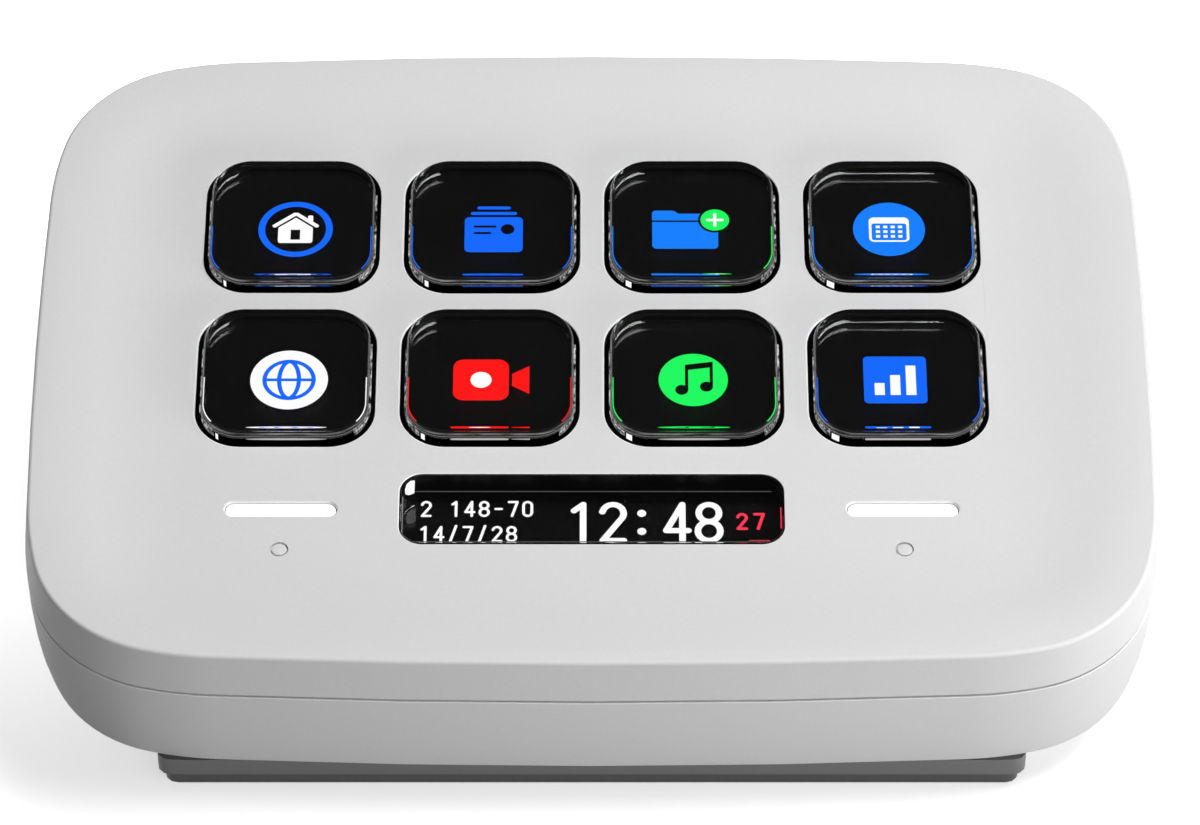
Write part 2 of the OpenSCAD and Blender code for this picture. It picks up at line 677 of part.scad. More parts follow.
module info_lens() {
    lens_w = window_w - 2 * WINDOW_GAP;
    lens_l = window_l - 2 * WINDOW_GAP;
    color(CLEAR_COLOUR) on_face() translate([0, window_v, 0]) {
        slab(lens_w, lens_l, window_corner_r - WINDOW_GAP, -lens_t, 0);
        slab(lens_w + 2 * LENS_FLANGE, lens_l + 2 * LENS_FLANGE, window_corner_r + LENS_FLANGE - WINDOW_GAP,
            ceiling_w - LENS_FLANGE_T, ceiling_w);
    }
}

module info_display() {
    color(DISPLAY_COLOUR) on_face() translate([0, window_v, 0])
        block(info_w, info_l, info_top_w - info_t, info_top_w);
}

// Moulded frame with deep pockets for the key board and the information display, shallow ones
// for the touch boards, and four ears that are screwed to the cover
module display_carrier() {
    carrier_l = carrier_back_v - carrier_front_v;
    color("#26282B") on_face() difference() {
        union() {
            translate([0, (carrier_back_v + carrier_front_v) / 2, 0])
                block(carrier_w, carrier_l, carrier_bottom_w, key_board_top_w);
            for (v = carrier_screw_vs) translate([0, v, 0]) both_sides(carrier_screw_u)
                post(CARRIER_EAR_R, key_board_top_w - CARRIER_EAR_T, key_board_top_w);
        }
        translate([0, keys_v, 0])
            block(key_board_w + 2 * POCKET_GAP, key_board_l + 2 * POCKET_GAP, carrier_floor_w, 0);
        translate([0, window_v, 0])
            block(info_w + 2 * POCKET_GAP, info_l + 2 * POCKET_GAP, info_top_w - info_t, 0);
        translate([0, touch_board_v, 0]) both_sides(bar_u)
            block(touch_board_w + 2 * POCKET_GAP, touch_board_l, touch_board_top_w - touch_board_t, 0);
        translate([0, ribbon_slot_v, 0]) block(RIBBON_W + 1, RIBBON_SLOT_L, carrier_bottom_w - CUT, 0);
        translate([0, touch_ribbon_v, 0]) both_sides(bar_u)
            block(TOUCH_RIBBON_W + 2 * TOUCH_RIBBON_SLOT, RIBBON_T + 2 * TOUCH_RIBBON_SLOT,
                carrier_bottom_w - CUT, 0);
        for (v = carrier_screw_vs) translate([0, v, 0]) both_sides(carrier_screw_u) {
            post(CARRIER_SCREW_R + SCREW_HOLE_GAP, carrier_bottom_w - CUT, 0);
            post(HEAD_R, carrier_bottom_w - CUT, key_board_top_w - CARRIER_EAR_T);
        }
        four_places(boss_u, boss_vs) post(BOSS_BASE_R + BOSS_HOLE_GAP, carrier_bottom_w - CUT, 0);
    }
}

module light_bar(side) {
    color("white") on_face() translate([side * bar_u, window_v, 0]) {
        slab(bar_w - 2 * BAR_GAP, bar_l - 2 * BAR_GAP, bar_l / 2 - BAR_GAP, bar_bottom_w, -bar_sink);
        slab(bar_w + BAR_FLANGE, bar_l + BAR_FLANGE, (bar_l + BAR_FLANGE) / 2,
            ceiling_w - BAR_FLANGE_T, ceiling_w);
    }
}

module touch_board(side) {
    color(BOARD_COLOUR) on_face() translate([side * bar_u, touch_board_v, 0])
        block(touch_board_w, touch_board_l - 2 * POCKET_GAP,
            touch_board_top_w - touch_board_t, touch_board_top_w);
}

module bar_lamps() {
    spacing = (bar_w - 2) / LAMPS;
    color("#F5E9B8") on_face() translate([0, window_v, 0]) both_sides(bar_u)
        for (k = [0:LAMPS - 1]) translate([(k - (LAMPS - 1) / 2) * spacing, 0, 0])
            block(LAMP_W, LAMP_L, touch_board_top_w, touch_board_top_w + LAMP_H);
}

// ---------------------------------------------------------------- electronics

// The board keeps clear of the housing's wall, whose outline its back corners follow
module main_board() {
    board_l = board_back_v - board_front_v;
    color(BOARD_COLOUR) on_face() difference() {
        intersection() {
            translate([0, (board_back_v + board_front_v) / 2, 0])
                slab(2 * board_half_w, board_l, BOARD_CORNER_R, board_bottom_w, board_top_w);
            translate([0, 0, board_bottom_w - CUT]) linear_extrude(board_t + 2 * CUT)
                outline_area(inner_inset + BOARD_WALL_GAP);
        }
        four_places(post_u, post_vs)
            post(POST_SCREW_R + SCREW_HOLE_GAP, board_bottom_w - CUT, board_top_w + CUT);
        four_places(boss_u, boss_vs)
            post(BOSS_BASE_R + BOSS_HOLE_GAP, board_bottom_w - CUT, board_top_w + CUT);
    }
}

// Processor, memory, power parts and the plugs of the flat cables
module board_chips() {
    plug_w = TOUCH_RIBBON_W + 2;
    plug_l = 2.6;
    color("#1A1A1C") on_face() {
        for (c = chips) translate([c[0], c[1], 0]) block(c[2], c[3], board_bottom_w - c[4], board_bottom_w);
        translate([0, ribbon_plug_v, 0])
            block(RIBBON_W + 3, RIBBON_PLUG_L, board_top_w, board_top_w + PLUG_H);
        translate([0, touch_ribbon_v + (RIBBON_T + plug_l) / 2, 0]) both_sides(bar_u)
            block(plug_w, plug_l, board_top_w, board_top_w + PLUG_H);
    }
}

module cable_socket() {
    color(STEEL_COLOUR) on_face() translate([0, socket_mouth_v, socket_w]) rotate([90, 0, 0]) {
        difference() {
            linear_extrude(SOCKET_L) rounded_rect(SOCKET_W, SOCKET_H, SOCKET_SIDE_R);
            translate([0, 0, -CUT]) linear_extrude(SOCKET_L + CUT - SOCKET_END_T)
                rounded_rect(SOCKET_W - 2 * SOCKET_WALL, SOCKET_H - 2 * SOCKET_WALL,
                    SOCKET_SIDE_R - SOCKET_WALL);
        }
        translate([0, 0, SOCKET_L - SOCKET_TONGUE_L - SOCKET_END_T])
            linear_extrude(SOCKET_TONGUE_L + SEAT) square([SOCKET_TONGUE_W, SOCKET_TONGUE_H], center = true);
    }
}

// Flat cable from under the key board, down through its plate and the carrier to the main board
module key_ribbon() {
    start_v = ribbon_turn_v - 8;
    plug_v = ribbon_plug_v - RIBBON_PLUG_L / 2;
    low_w = board_top_w + 0.1;
    color(FLEX_COLOUR) on_face() {
        translate([0, (start_v + ribbon_turn_v) / 2, 0])
            block(RIBBON_W, ribbon_turn_v - start_v, stiffener_top_w - RIBBON_T, stiffener_top_w);
        translate([0, ribbon_turn_v - RIBBON_T / 2, 0])
            block(RIBBON_W, RIBBON_T, low_w, stiffener_top_w - RIBBON_T);
        translate([0, (ribbon_turn_v + plug_v) / 2, 0])
            block(RIBBON_W, plug_v - ribbon_turn_v, low_w, low_w + RIBBON_T);
    }
}

module touch_ribbons() {
    color(FLEX_COLOUR) on_face() translate([0, touch_ribbon_v, 0]) both_sides(bar_u)
        block(TOUCH_RIBBON_W, RIBBON_T, board_top_w, touch_board_top_w - touch_board_t);
}

module ballast_plate() {
    plate_l = ballast_back_v - ballast_front_v;
    color(STEEL_COLOUR) on_face() difference() {
        translate([0, (ballast_back_v + ballast_front_v) / 2, 0])
            slab(2 * ballast_half_w, plate_l, BALLAST_CORNER_R,
                ballast_bottom_w, ballast_bottom_w + ballast_t);
        both_sides(ballast_screw_u)
            post(POST_SCREW_R + SCREW_HOLE_GAP, floor_w - CUT, floor_w + ballast_t + CUT);
        four_places(boss_u, boss_vs)
            post(BOSS_BASE_R + BOSS_HOLE_GAP, floor_w - CUT, floor_w + ballast_t + CUT);
    }
}

// ---------------------------------------------------------------- screws

module ballast_screws() {
    color(STEEL_COLOUR) on_face() both_sides(ballast_screw_u)
        screw_down(SMALL_HEAD_R, 0.5, POST_SCREW_R, ballast_bottom_w + ballast_t, floor_w - 1);
}

module carrier_screws() {
    color(STEEL_COLOUR) on_face() for (v = carrier_screw_vs)
        translate([0, v, 0]) both_sides(carrier_screw_u)
            screw_up(SMALL_HEAD_R, 1.3, CARRIER_SCREW_R, key_board_top_w - CARRIER_EAR_T, ceiling_w);
}

module board_screws() {
    color(STEEL_COLOUR) on_face() four_places(post_u, post_vs)
        screw_down(SMALL_HEAD_R, 0.9, POST_SCREW_R, board_top_w, floor_w + 0.5);
}

module housing_screws() {
    color(STEEL_COLOUR) on_face() four_places(boss_u, boss_vs)
        screw_up(HEAD_R, HEAD_H, SHANK_R, boss_seat_w, screw_tip_w);
}

module plinth_screws() {
    color(STEEL_COLOUR) on_face() translate([0, plinth_screw_v, 0]) both_sides(plinth_screw_u)
        screw_up(PLINTH_HEAD_R, PLINTH_HEAD_H, SHANK_R, bottom_w - plinth_wall, plinth_tip_w);
}

// ---------------------------------------------------------------- plinth and sole

// Everything above a height of the face plane
module above(w) {
    on_face() translate([-body_w, -body_l, w]) cube([2 * body_w, 2 * body_l, 3 * body_h]);
}

// Cells open to the sole, under a top wall, with ribs between them
module plinth_cells() {
    cell_w = (plinth_w - plinth_wall * (PLINTH_CELLS_U + 1)) / PLINTH_CELLS_U;
    cell_l = (plinth_l - plinth_wall * (PLINTH_CELLS_V + 1)) / PLINTH_CELLS_V;
    difference() {
        for (i = [0:PLINTH_CELLS_U - 1], j = [1:PLINTH_CELLS_V - 1])
            translate([(i - (PLINTH_CELLS_U - 1) / 2) * (cell_w + plinth_wall),
                       plinth_y + (j - (PLINTH_CELLS_V - 1) / 2) * (cell_l + plinth_wall), 0])
                slab(cell_w, cell_l, PLINTH_CELL_R, sole_t - CUT, body_h);
        above(bottom_w - plinth_wall);
        on_face() translate([0, plinth_screw_v, 0]) both_sides(plinth_screw_u)
            post(PLINTH_HEAD_R + PLINTH_BOSS_T, bottom_w - body_h, bottom_w);
    }
}

module plinth() {
    color(PLINTH_COLOUR) difference() {
        union() {
            difference() {
                translate([0, plinth_y, 0]) slab(plinth_w, plinth_l, plinth_corner_r, sole_t, body_h / 2);
                above(bottom_w);
            }
            on_face() translate([0, hook_v, 0]) both_sides(hook_u) {
                block(HOOK_W, HOOK_T, bottom_w - 0.5, floor_w + HOOK_GAP);
                translate([0, -HOOK_REACH / 2, 0])
                    block(HOOK_W, HOOK_T + HOOK_REACH, floor_w + HOOK_GAP, floor_w + HOOK_GAP + HOOK_NOSE_T);
            }
        }
        plinth_cells();
        on_face() translate([0, plinth_screw_v, 0]) both_sides(plinth_screw_u) {
            post(SHANK_R + SCREW_HOLE_GAP, bottom_w - plinth_wall - CUT, bottom_w + CUT);
            post(PLINTH_HEAD_R + PLINTH_HEAD_GAP, bottom_w - body_h, bottom_w - plinth_wall);
        }
    }
}

module rubber_sole() {
    color(SOLE_COLOUR) translate([0, plinth_y, 0])
        slab(plinth_w - 2 * sole_inset, plinth_l - 2 * sole_inset, plinth_corner_r - sole_inset, 0, sole_t);
}

// ---------------------------------------------------------------- nodes

top_cover();
lower_housing();
for (i = [1:KEYS]) key_cap(i - 1);
for (i = [1:KEYS]) key_screen(i - 1);
for (i = [1:KEYS]) key_dome(i - 1);
contact_film();
key_contacts();
key_board();
stiffener_plate();
info_lens();
info_display();
display_carrier();
light_bar(-1);  // light_bar_left
light_bar(1);  // light_bar_right
touch_board(-1);  // touch_board_left
touch_board(1);  // touch_board_right
bar_lamps();
main_board();
board_chips();
cable_socket();
key_ribbon();
touch_ribbons();
ballast_plate();
ballast_screws();
carrier_screws();
board_screws();
housing_screws();
plinth();
plinth_screws();
rubber_sole();
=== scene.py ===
"""A desk macro keypad: light shells, clear keys over lit displays, a wedge plinth on rubber."""

import json
import math

import bmesh
import bpy
from mathutils import Matrix, Vector


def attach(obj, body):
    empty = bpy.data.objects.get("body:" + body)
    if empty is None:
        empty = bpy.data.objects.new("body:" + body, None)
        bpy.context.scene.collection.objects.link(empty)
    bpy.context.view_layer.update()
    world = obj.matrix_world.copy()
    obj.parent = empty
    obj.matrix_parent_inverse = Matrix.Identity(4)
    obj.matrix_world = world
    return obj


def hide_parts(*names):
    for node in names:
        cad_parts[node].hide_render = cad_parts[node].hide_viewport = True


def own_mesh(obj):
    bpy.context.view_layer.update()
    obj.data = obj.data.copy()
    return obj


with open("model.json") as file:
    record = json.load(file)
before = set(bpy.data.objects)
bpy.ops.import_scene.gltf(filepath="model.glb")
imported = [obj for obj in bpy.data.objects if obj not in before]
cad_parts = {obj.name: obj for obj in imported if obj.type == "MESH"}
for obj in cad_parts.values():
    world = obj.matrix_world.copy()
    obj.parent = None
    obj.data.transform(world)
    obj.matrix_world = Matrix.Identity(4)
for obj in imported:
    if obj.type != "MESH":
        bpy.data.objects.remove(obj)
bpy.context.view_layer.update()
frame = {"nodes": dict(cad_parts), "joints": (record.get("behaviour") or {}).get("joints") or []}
scene = bpy.context.scene
scene.view_settings.view_transform = "Standard"

# ---------------------------------------------------------------- face plane
# Every piece of the body is laid out on the sloping face, in millimetres: u across, v up the slope
# and w out of it, with w = 0 on the flat round the keys. FACE turns such a place into the frame's.

MM = 0.001
KEYS = 8
COLUMNS = 4
WINDOW_V = -19.35  # middle of the window on the face
press = Vector(frame["joints"][0]["axis"])
SLOPE = math.atan2(press.y, -press.z)
turn = Matrix.Rotation(SLOPE, 4, "X")
face_normal = turn.to_3x3() @ Vector((0, 0, 1))
unturned = [turn.inverted() @ v.co for v in frame["nodes"]["info_lens"].data.vertices]
lens_v = [p.y for p in unturned]
lens_top = max(p.z for p in unturned)
origin = turn @ Vector((0, (min(lens_v) + max(lens_v)) / 2 - WINDOW_V * MM, lens_top))
FACE = Matrix.Translation(origin) @ turn @ Matrix.Scale(MM, 4)
TO_FACE = FACE.inverted()


def face_box(name):
    """Lowest and highest corner of a CAD node in face millimetres."""
    places = [TO_FACE @ v.co for v in frame["nodes"][name].data.vertices]
    low = Vector(min(p[k] for p in places) for k in range(3))
    high = Vector(max(p[k] for p in places) for k in range(3))
    return low, high


# ---------------------------------------------------------------- camera
# A long lens a good half metre away, in front of the keypad and above it. Its focal length is given
# in pixels of a frame 1200 wide, its place and its aim in face millimetres.

FRAME_W = 1200
LENS_PX = 6203
SENSOR = 36.0
CLIP_START = 0.01
VIEW_TO_FACE = math.radians(49.3)
DISTANCE = 587.1
AIM_U, AIM_V = 0.77, -7.51

back = Vector((0, -math.cos(VIEW_TO_FACE), math.sin(VIEW_TO_FACE)))
look = turn.to_3x3() @ -back
eye = Vector((AIM_U, AIM_V, 0)) + DISTANCE * back
camera_data = bpy.data.cameras.new("camera")
camera_data.sensor_width = SENSOR
camera_data.lens = SENSOR * LENS_PX / FRAME_W
camera_data.clip_start = CLIP_START
camera = bpy.data.objects.new("camera", camera_data)
camera.location = FACE @ eye
camera.rotation_mode = "QUATERNION"
camera.rotation_quaternion = look.to_track_quat("-Z", "Y")
scene.collection.objects.link(camera)
scene.camera = camera

# ---------------------------------------------------------------- studio
# A pale table in an even, dim room. A large soft box hangs over the right side, two low ones stand
# in front on the right, and a weak one on the left. The boxes light the keypad but aren't mirrored
# in it, and the tops of the keys mirror a darker part of the room.


def linear(hex_colour):
    """sRGB hex to the linear RGBA that sockets take."""
    parts = [int(hex_colour[k : k + 2], 16) / 255 for k in (1, 3, 5)]
    return [c / 12.92 if c <= 0.04045 else ((c + 0.055) / 1.055) ** 2.4 for c in parts] + [1.0]


def add_node(tree, kind, inputs=None, **settings):
    """Adds a node, sets its properties, and sets or links its inputs."""
    made = tree.nodes.new(kind)
    for name, value in settings.items():
        setattr(made, name, value)
    for socket, value in (inputs or {}).items():
        if isinstance(value, bpy.types.NodeSocket):
            tree.links.new(value, made.inputs[socket])
        else:
            made.inputs[socket].default_value = value
    return made


def new_material(name):
    """An empty material: its node tree and its output node."""
    material = bpy.data.materials.new(name)
    material.use_nodes = True
    material.node_tree.nodes.clear()
    return material, material.node_tree, add_node(material.node_tree, "ShaderNodeOutputMaterial")


def seen_rays(tree):
    """1 for rays from the camera, from gloss and from glass, else 0."""
    path = add_node(tree, "ShaderNodeLightPath")
    seen = path.outputs["Is Camera Ray"]
    for kind in ("Is Glossy Ray", "Is Transmission Ray"):
        inputs = {0: seen, 1: path.outputs[kind]}
        seen = add_node(tree, "ShaderNodeMath", inputs, operation="MAXIMUM").outputs[0]
    return seen


FLOOR_SIZE = 8.0
FLOOR_BELOW = 0.00005
BOUNCE_GREY = "#5A5A5A"
PAPER_WHITE = "#FFFFFF"
# Painted light: the table glows white for the camera, gloss and glass. The glow is low in front of
# the keypad, which paints a shadow there. It is full behind the keypad and away from it, which
# paints out the keypad's shadows
LIFT_LOW, LIFT_FULL = 0.58, 0.92
DEPTH_LOW, DEPTH_FULL = -0.034, -0.013
AWAY_LOW, AWAY_FULL = 0.075, 0.13

table_top, tree, output = new_material("pale_table")
plain = add_node(tree, "ShaderNodeBsdfDiffuse", {"Color": linear(BOUNCE_GREY)})
white = add_node(tree, "ShaderNodeBsdfDiffuse", {"Color": linear(PAPER_WHITE)})
place = add_node(tree, "ShaderNodeTexCoord")
apart = add_node(tree, "ShaderNodeSeparateXYZ", {0: place.outputs["Object"]})
depth_level = add_node(
    tree, "ShaderNodeMapRange",
    {"Value": apart.outputs["Y"], "From Min": DEPTH_LOW, "From Max": DEPTH_FULL,
     "To Min": LIFT_LOW, "To Max": LIFT_FULL},
)
away = add_node(tree, "ShaderNodeVectorMath", {0: place.outputs["Object"]}, operation="LENGTH")
away_level = add_node(
    tree, "ShaderNodeMapRange",
    {"Value": away.outputs["Value"], "From Min": AWAY_LOW, "From Max": AWAY_FULL,
     "To Min": LIFT_LOW, "To Max": LIFT_FULL},
)
# The glow takes the higher of the two levels, so it is low only close in front of the keypad, where
# it paints the shadow
lift_level = add_node(
    tree, "ShaderNodeMath", {0: depth_level.outputs["Result"], 1: away_level.outputs["Result"]},
    operation="MAXIMUM",
)
lift = add_node(tree, "ShaderNodeEmission", {"Strength": lift_level.outputs[0]})
bright = add_node(tree, "ShaderNodeAddShader", {0: white.outputs[0], 1: lift.outputs[0]})
mix = add_node(
    tree, "ShaderNodeMixShader", {0: seen_rays(tree), 1: plain.outputs[0], 2: bright.outputs[0]},
)
tree.links.new(mix.outputs[0], output.inputs["Surface"])

bm = bmesh.new()
floor_place = Matrix.Translation((0, 0, -FLOOR_BELOW))
bmesh.ops.create_grid(bm, x_segments=1, y_segments=1, size=FLOOR_SIZE / 2, matrix=floor_place)
floor_mesh = bpy.data.meshes.new("floor")
bm.to_mesh(floor_mesh)
bm.free()
floor = bpy.data.objects.new("floor", floor_mesh)
floor.data.materials.append(table_top)
scene.collection.objects.link(floor)

# The room is evenly dim, darker still where the tops of the keys mirror it, and the view's own
# background is white
ROOM_LIGHT = 0.05
MIRRORED_LIGHT = 0.04
BACKDROP_LIGHT = 1.0
DARK_FROM, DARK_TO = 0.72, 0.90
mirrored = look - 2 * look.dot(face_normal) * face_normal

room = bpy.data.worlds.new("room")
room.use_nodes = True
scene.world = room
tree = room.node_tree
tree.nodes.clear()
place = add_node(tree, "ShaderNodeTexCoord")
facing = add_node(
    tree, "ShaderNodeVectorMath", {0: place.outputs["Generated"], 1: list(mirrored)},
    operation="DOT_PRODUCT",
)
level = add_node(
    tree, "ShaderNodeMapRange",
    {"Value": facing.outputs["Value"], "From Min": DARK_FROM, "From Max": DARK_TO,
     "To Min": ROOM_LIGHT, "To Max": MIRRORED_LIGHT},
)
path = add_node(tree, "ShaderNodeLightPath")
dim = add_node(
    tree, "ShaderNodeBackground",
    {"Color": linear(PAPER_WHITE), "Strength": level.outputs["Result"]},
)
backdrop = add_node(
    tree, "ShaderNodeBackground", {"Color": linear(PAPER_WHITE), "Strength": BACKDROP_LIGHT},
)
mix = add_node(
    tree, "ShaderNodeMixShader",
    {0: path.outputs["Is Camera Ray"], 1: dim.outputs[0], 2: backdrop.outputs[0]},
)
add_node(tree, "ShaderNodeOutputWorld", {"Surface": mix.outputs[0]})

# Name: azimuth from +X and height in degrees, distance, size across and up in metres, watts
LAMPS = {
    "softbox_over": (20, 65, 0.70, 0.45, 0.40, 4.95),
    "softbox_right": (330, 8, 0.45, 0.22, 0.10, 0.74),
    "softbox_front": (297, 8, 0.28, 0.14, 0.07, 0.25),
    "softbox_left": (180, 8, 0.45, 0.20, 0.10, 0.12),
}
AIM_HEIGHT = 0.015
aim = Vector((0, 0, AIM_HEIGHT))
for name, (azimuth, elevation, distance, across, height, power) in LAMPS.items():
    lamp_data = bpy.data.lights.new(name, "AREA")
    lamp_data.shape = "RECTANGLE"
    lamp_data.size = across
    lamp_data.size_y = height
    lamp_data.energy = power
    swing = Matrix.Rotation(math.radians(azimuth), 3, "Z")
    raise_by = Matrix.Rotation(math.radians(-elevation), 3, "Y")
    lamp = bpy.data.objects.new(name, lamp_data)
    lamp.location = aim + swing @ raise_by @ Vector((distance, 0, 0))
    lamp.rotation_mode = "QUATERNION"
    lamp.rotation_quaternion = (aim - lamp.location).to_track_quat("-Z", "Y")
    lamp.visible_glossy = False
    scene.collection.objects.link(lamp)

# ---------------------------------------------------------------- top cover
# Injection moulded shell of light grey ABS with a fine spark-eroded grain. It is dished inside a
# flat rim and pierced by the key wells, the window and the bar slots, each with a small round edge.

SHADE_SHARP = math.radians(32)
HARD_EDGE = math.radians(60)
WELD = 2e-6
FLAT_ANGLE = math.radians(0.2)


def merged_copy(node, matrix=TO_FACE):
    """The node's triangles welded into faces, in face millimetres."""
    bm = bmesh.new()
    bm.from_mesh(frame["nodes"][node].data)
    bmesh.ops.remove_doubles(bm, verts=bm.verts, dist=WELD)
    bmesh.ops.dissolve_limit(bm, angle_limit=FLAT_ANGLE, verts=bm.verts, edges=bm.edges)
    bmesh.ops.transform(bm, matrix=matrix, verts=bm.verts)
    return bm


def make_piece(name, bm, materials, body="body", matrix=FACE, weighted=True):
    """Puts a bmesh in the frame as a smooth piece that rides on a body."""
    bmesh.ops.transform(bm, matrix=matrix, verts=bm.verts)
    mesh = bpy.data.meshes.new(name)
    bm.to_mesh(mesh)
    bm.free()
    mesh.shade_smooth()
    mesh.set_sharp_from_angle(angle=SHADE_SHARP)
    piece = bpy.data.objects.new(name, mesh)
    scene.collection.objects.link(piece)
    for material in materials:
        mesh.materials.append(material)
    if weighted:
        weights = piece.modifiers.new("flat_faces_stay_flat", "WEIGHTED_NORMAL")
        weights.keep_sharp = True
    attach(piece, body)
    return piece


def round_edges(bm, edges, size, steps):
    """Rounds edges off by a size in the bmesh's own unit, and gives the new faces."""
    return bmesh.ops.bevel(
        bm, geom=edges, offset=size, offset_type="OFFSET", segments=steps,
        profile=0.5, affect="EDGES", clamp_overlap=True, material=-1,
    )["faces"]


def sharp_edges(bm, test):
    """Hard outward edges whose two ends both pass the test."""
    return [
        e for e in bm.edges
        if len(e.link_faces) == 2 and e.calc_face_angle_signed(0) > HARD_EDGE
        and all(test(v.co) for v in e.verts)
    ]


def noise_in(tree, wave_mm, detail, **more):
    """Soft noise that is fixed to the object, in waves of a size."""
    place = add_node(tree, "ShaderNodeTexCoord")
    scale = 1 / (wave_mm * MM)
    return add_node(
        tree, "ShaderNodeTexNoise",
        {"Vector": place.outputs["Object"], "Scale": scale, "Detail": detail, **more},
    )


def toned(tree, noise, darker, colour):
    """A colour that changes with a noise."""
    inputs = {"Factor": noise.outputs["Fac"], "A": linear(darker), "B": linear(colour)}
    return add_node(tree, "ShaderNodeMix", inputs, data_type="RGBA").outputs["Result"]


def surface_of(tree, output, inputs):
    """The one shader of a material, linked to its output."""
    surface = add_node(tree, "ShaderNodeBsdfPrincipled", inputs)
    tree.links.new(surface.outputs[0], output.inputs["Surface"])


ABS_IOR = 1.53


def moulded_plastic(name, colour, darker, grain_mm=0.32, roughness=0.55, grain_depth_mm=0.010):
    """Plastic from a spark-eroded mould: dull, with a fine grain and a slight change of tone."""
    material, tree, output = new_material(name)
    grain = noise_in(tree, grain_mm, 2.0, Roughness=0.6)
    bump = add_node(
        tree, "ShaderNodeBump",
        {"Height": grain.outputs["Fac"], "Distance": grain_depth_mm * MM, "Strength": 0.7},
    )
    surface_of(tree, output, {
        "Base Color": toned(tree, grain, darker, colour), "Roughness": roughness, "IOR": ABS_IOR,
        "Normal": bump.outputs[0],
    })
    return material


# A touch point is a round dot level with the face, inside a fine ring groove
BAR_U = 29.06
TOUCH_V = -24.25
TOUCH_R = 1.2
TOUCH_DOT_R = 0.8
DOT_EDGE = 0.14
GROOVE_EDGE = 0.04
# Openings: the round of their edges, and where such an edge is looked for beside its piece
HOLE_EDGE = 0.15
EDGE_WELD = 0.07
BESIDE = 1
NEAR_FACE = 0.4
AT_FACE = 0.02
# The cover's side ends this far under its rim, at the parting line
SIDE_DEPTH = 5.05
SEAM_EDGE = 0.12
AT_SEAM = 0.01
# Painted shade: the upright walls of the wells and the window are black, so the narrow gaps round
# the caps and the lens show black
PAINT_TOP, PAINT_BOTTOM = -0.03, -6.0
WELLS_U, WELLS_FRONT, WELLS_BACK = 42, -12, 30
WINDOW_U, WINDOW_FRONT = 19, -25
UPRIGHT = 0.3

cover_abs = moulded_plastic("moulded_abs_light", "#E2E2E2", "#DADADA")
shade_black = moulded_plastic("black_painted_shade_in_holes", "#060606", "#040404", roughness=0.6)
# Round edges of the openings and the seam: glossier than the shell, and whiter, which is a painted
# highlight
edge_highlight_abs = moulded_plastic(
    "abs_edge_with_painted_highlight", "#FFFFFF", "#F8F8F8", roughness=0.25, grain_depth_mm=0.001,
)
parting_w = face_box("top_cover")[1].z - SIDE_DEPTH


def by_touch(p, reach):
    """Within a reach of the middle of one of the touch points."""
    return math.hypot(abs(p.x) - BAR_U, p.y - TOUCH_V) < reach


def on_dot(p):
    """On the top edge of a touch point's dot."""
    return abs(p.z) < AT_FACE and by_touch(p, TOUCH_DOT_R)


def on_groove(p):
    """On the outer edge of the groove round that dot."""
    return abs(p.z) < AT_FACE and by_touch(p, TOUCH_R) and not by_touch(p, TOUCH_DOT_R)


def in_painted_hole(p):
    """Inside one of the key wells or the window, below the face."""
    in_well = abs(p.x) < WELLS_U and WELLS_FRONT < p.y < WELLS_BACK
    in_window = abs(p.x) < WINDOW_U and WINDOW_FRONT < p.y <= WELLS_FRONT
    return PAINT_BOTTOM < p.z < PAINT_TOP and (in_well or in_window)


def round_opening(bm, node):
    """Rounds the cover's edge round one piece that stands in it."""
    low, high = face_box(node)

    def near(p):
        across = low.x - BESIDE < p.x < high.x + BESIDE
        return abs(p.z) < NEAR_FACE and across and low.y - BESIDE < p.y < high.y + BESIDE

    edge_verts = {v for e in sharp_edges(bm, near) for v in e.verts}
    bmesh.ops.remove_doubles(bm, verts=list(edge_verts), dist=EDGE_WELD)
    return round_edges(bm, sharp_edges(bm, near), HOLE_EDGE, steps=3)


bm = merged_copy("top_cover")
rims = []
for node in [f"key_cap_{k}" for k in range(1, KEYS + 1)] + ["info_lens"]:
    rims += round_opening(bm, node)
for node in ("light_bar_left", "light_bar_right"):
    round_opening(bm, node)
round_edges(bm, sharp_edges(bm, on_dot), DOT_EDGE, steps=4)
round_edges(bm, sharp_edges(bm, on_groove), GROOVE_EDGE, steps=2)
round_edges(bm, sharp_edges(bm, lambda p: abs(p.z - parting_w) < AT_SEAM), SEAM_EDGE, steps=2)
# Upright faces inside the wells and the window get the black of the painted shade
for face in bm.faces:
    painted = abs(face.normal.z) < UPRIGHT and all(in_painted_hole(v.co) for v in face.verts)
    face.material_index = 1 if painted else 0
# The round edges of the openings get the whiter ABS, a painted highlight
for face in rims:
    face.material_index = 2
cover = make_piece("cover_shell", bm, [cover_abs, shade_black, edge_highlight_abs])
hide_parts("top_cover")

# ---------------------------------------------------------------- lower housing
# The second shell, of the same ABS. Its sides run in to a flat floor, and its tongue inside the
# cover leaves a fine shadow groove at the parting line. Four screws from below hold the shells
# together.

SEAM_TOP, SEAM_BOTTOM = 0.1, 0.5

bm = merged_copy("lower_housing")
under_seam = sharp_edges(bm, lambda p: SEAM_TOP < parting_w - p.z < SEAM_BOTTOM)
# The round under the seam gets the whiter ABS, a painted highlight
for face in round_edges(bm, under_seam, SEAM_EDGE, steps=2):
    face.material_index = 1
housing = make_piece("housing_shell", bm, [cover_abs, edge_highlight_abs])
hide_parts("lower_housing")

# ---------------------------------------------------------------- plinth and sole
# A hollow wedge of ABS tips the face to the front. Two screws and two hooks hold it, and a sole of
# darker rubber is glued under it. Both are coloured dark grey, which is painted shade under the
# housing's overhang.

PLINTH_EDGE, SOLE_EDGE = 0.3, 0.25
PLINTH_CORNER, SOLE_CORNER = 4.0, 3.4
SQUARER = 1.2
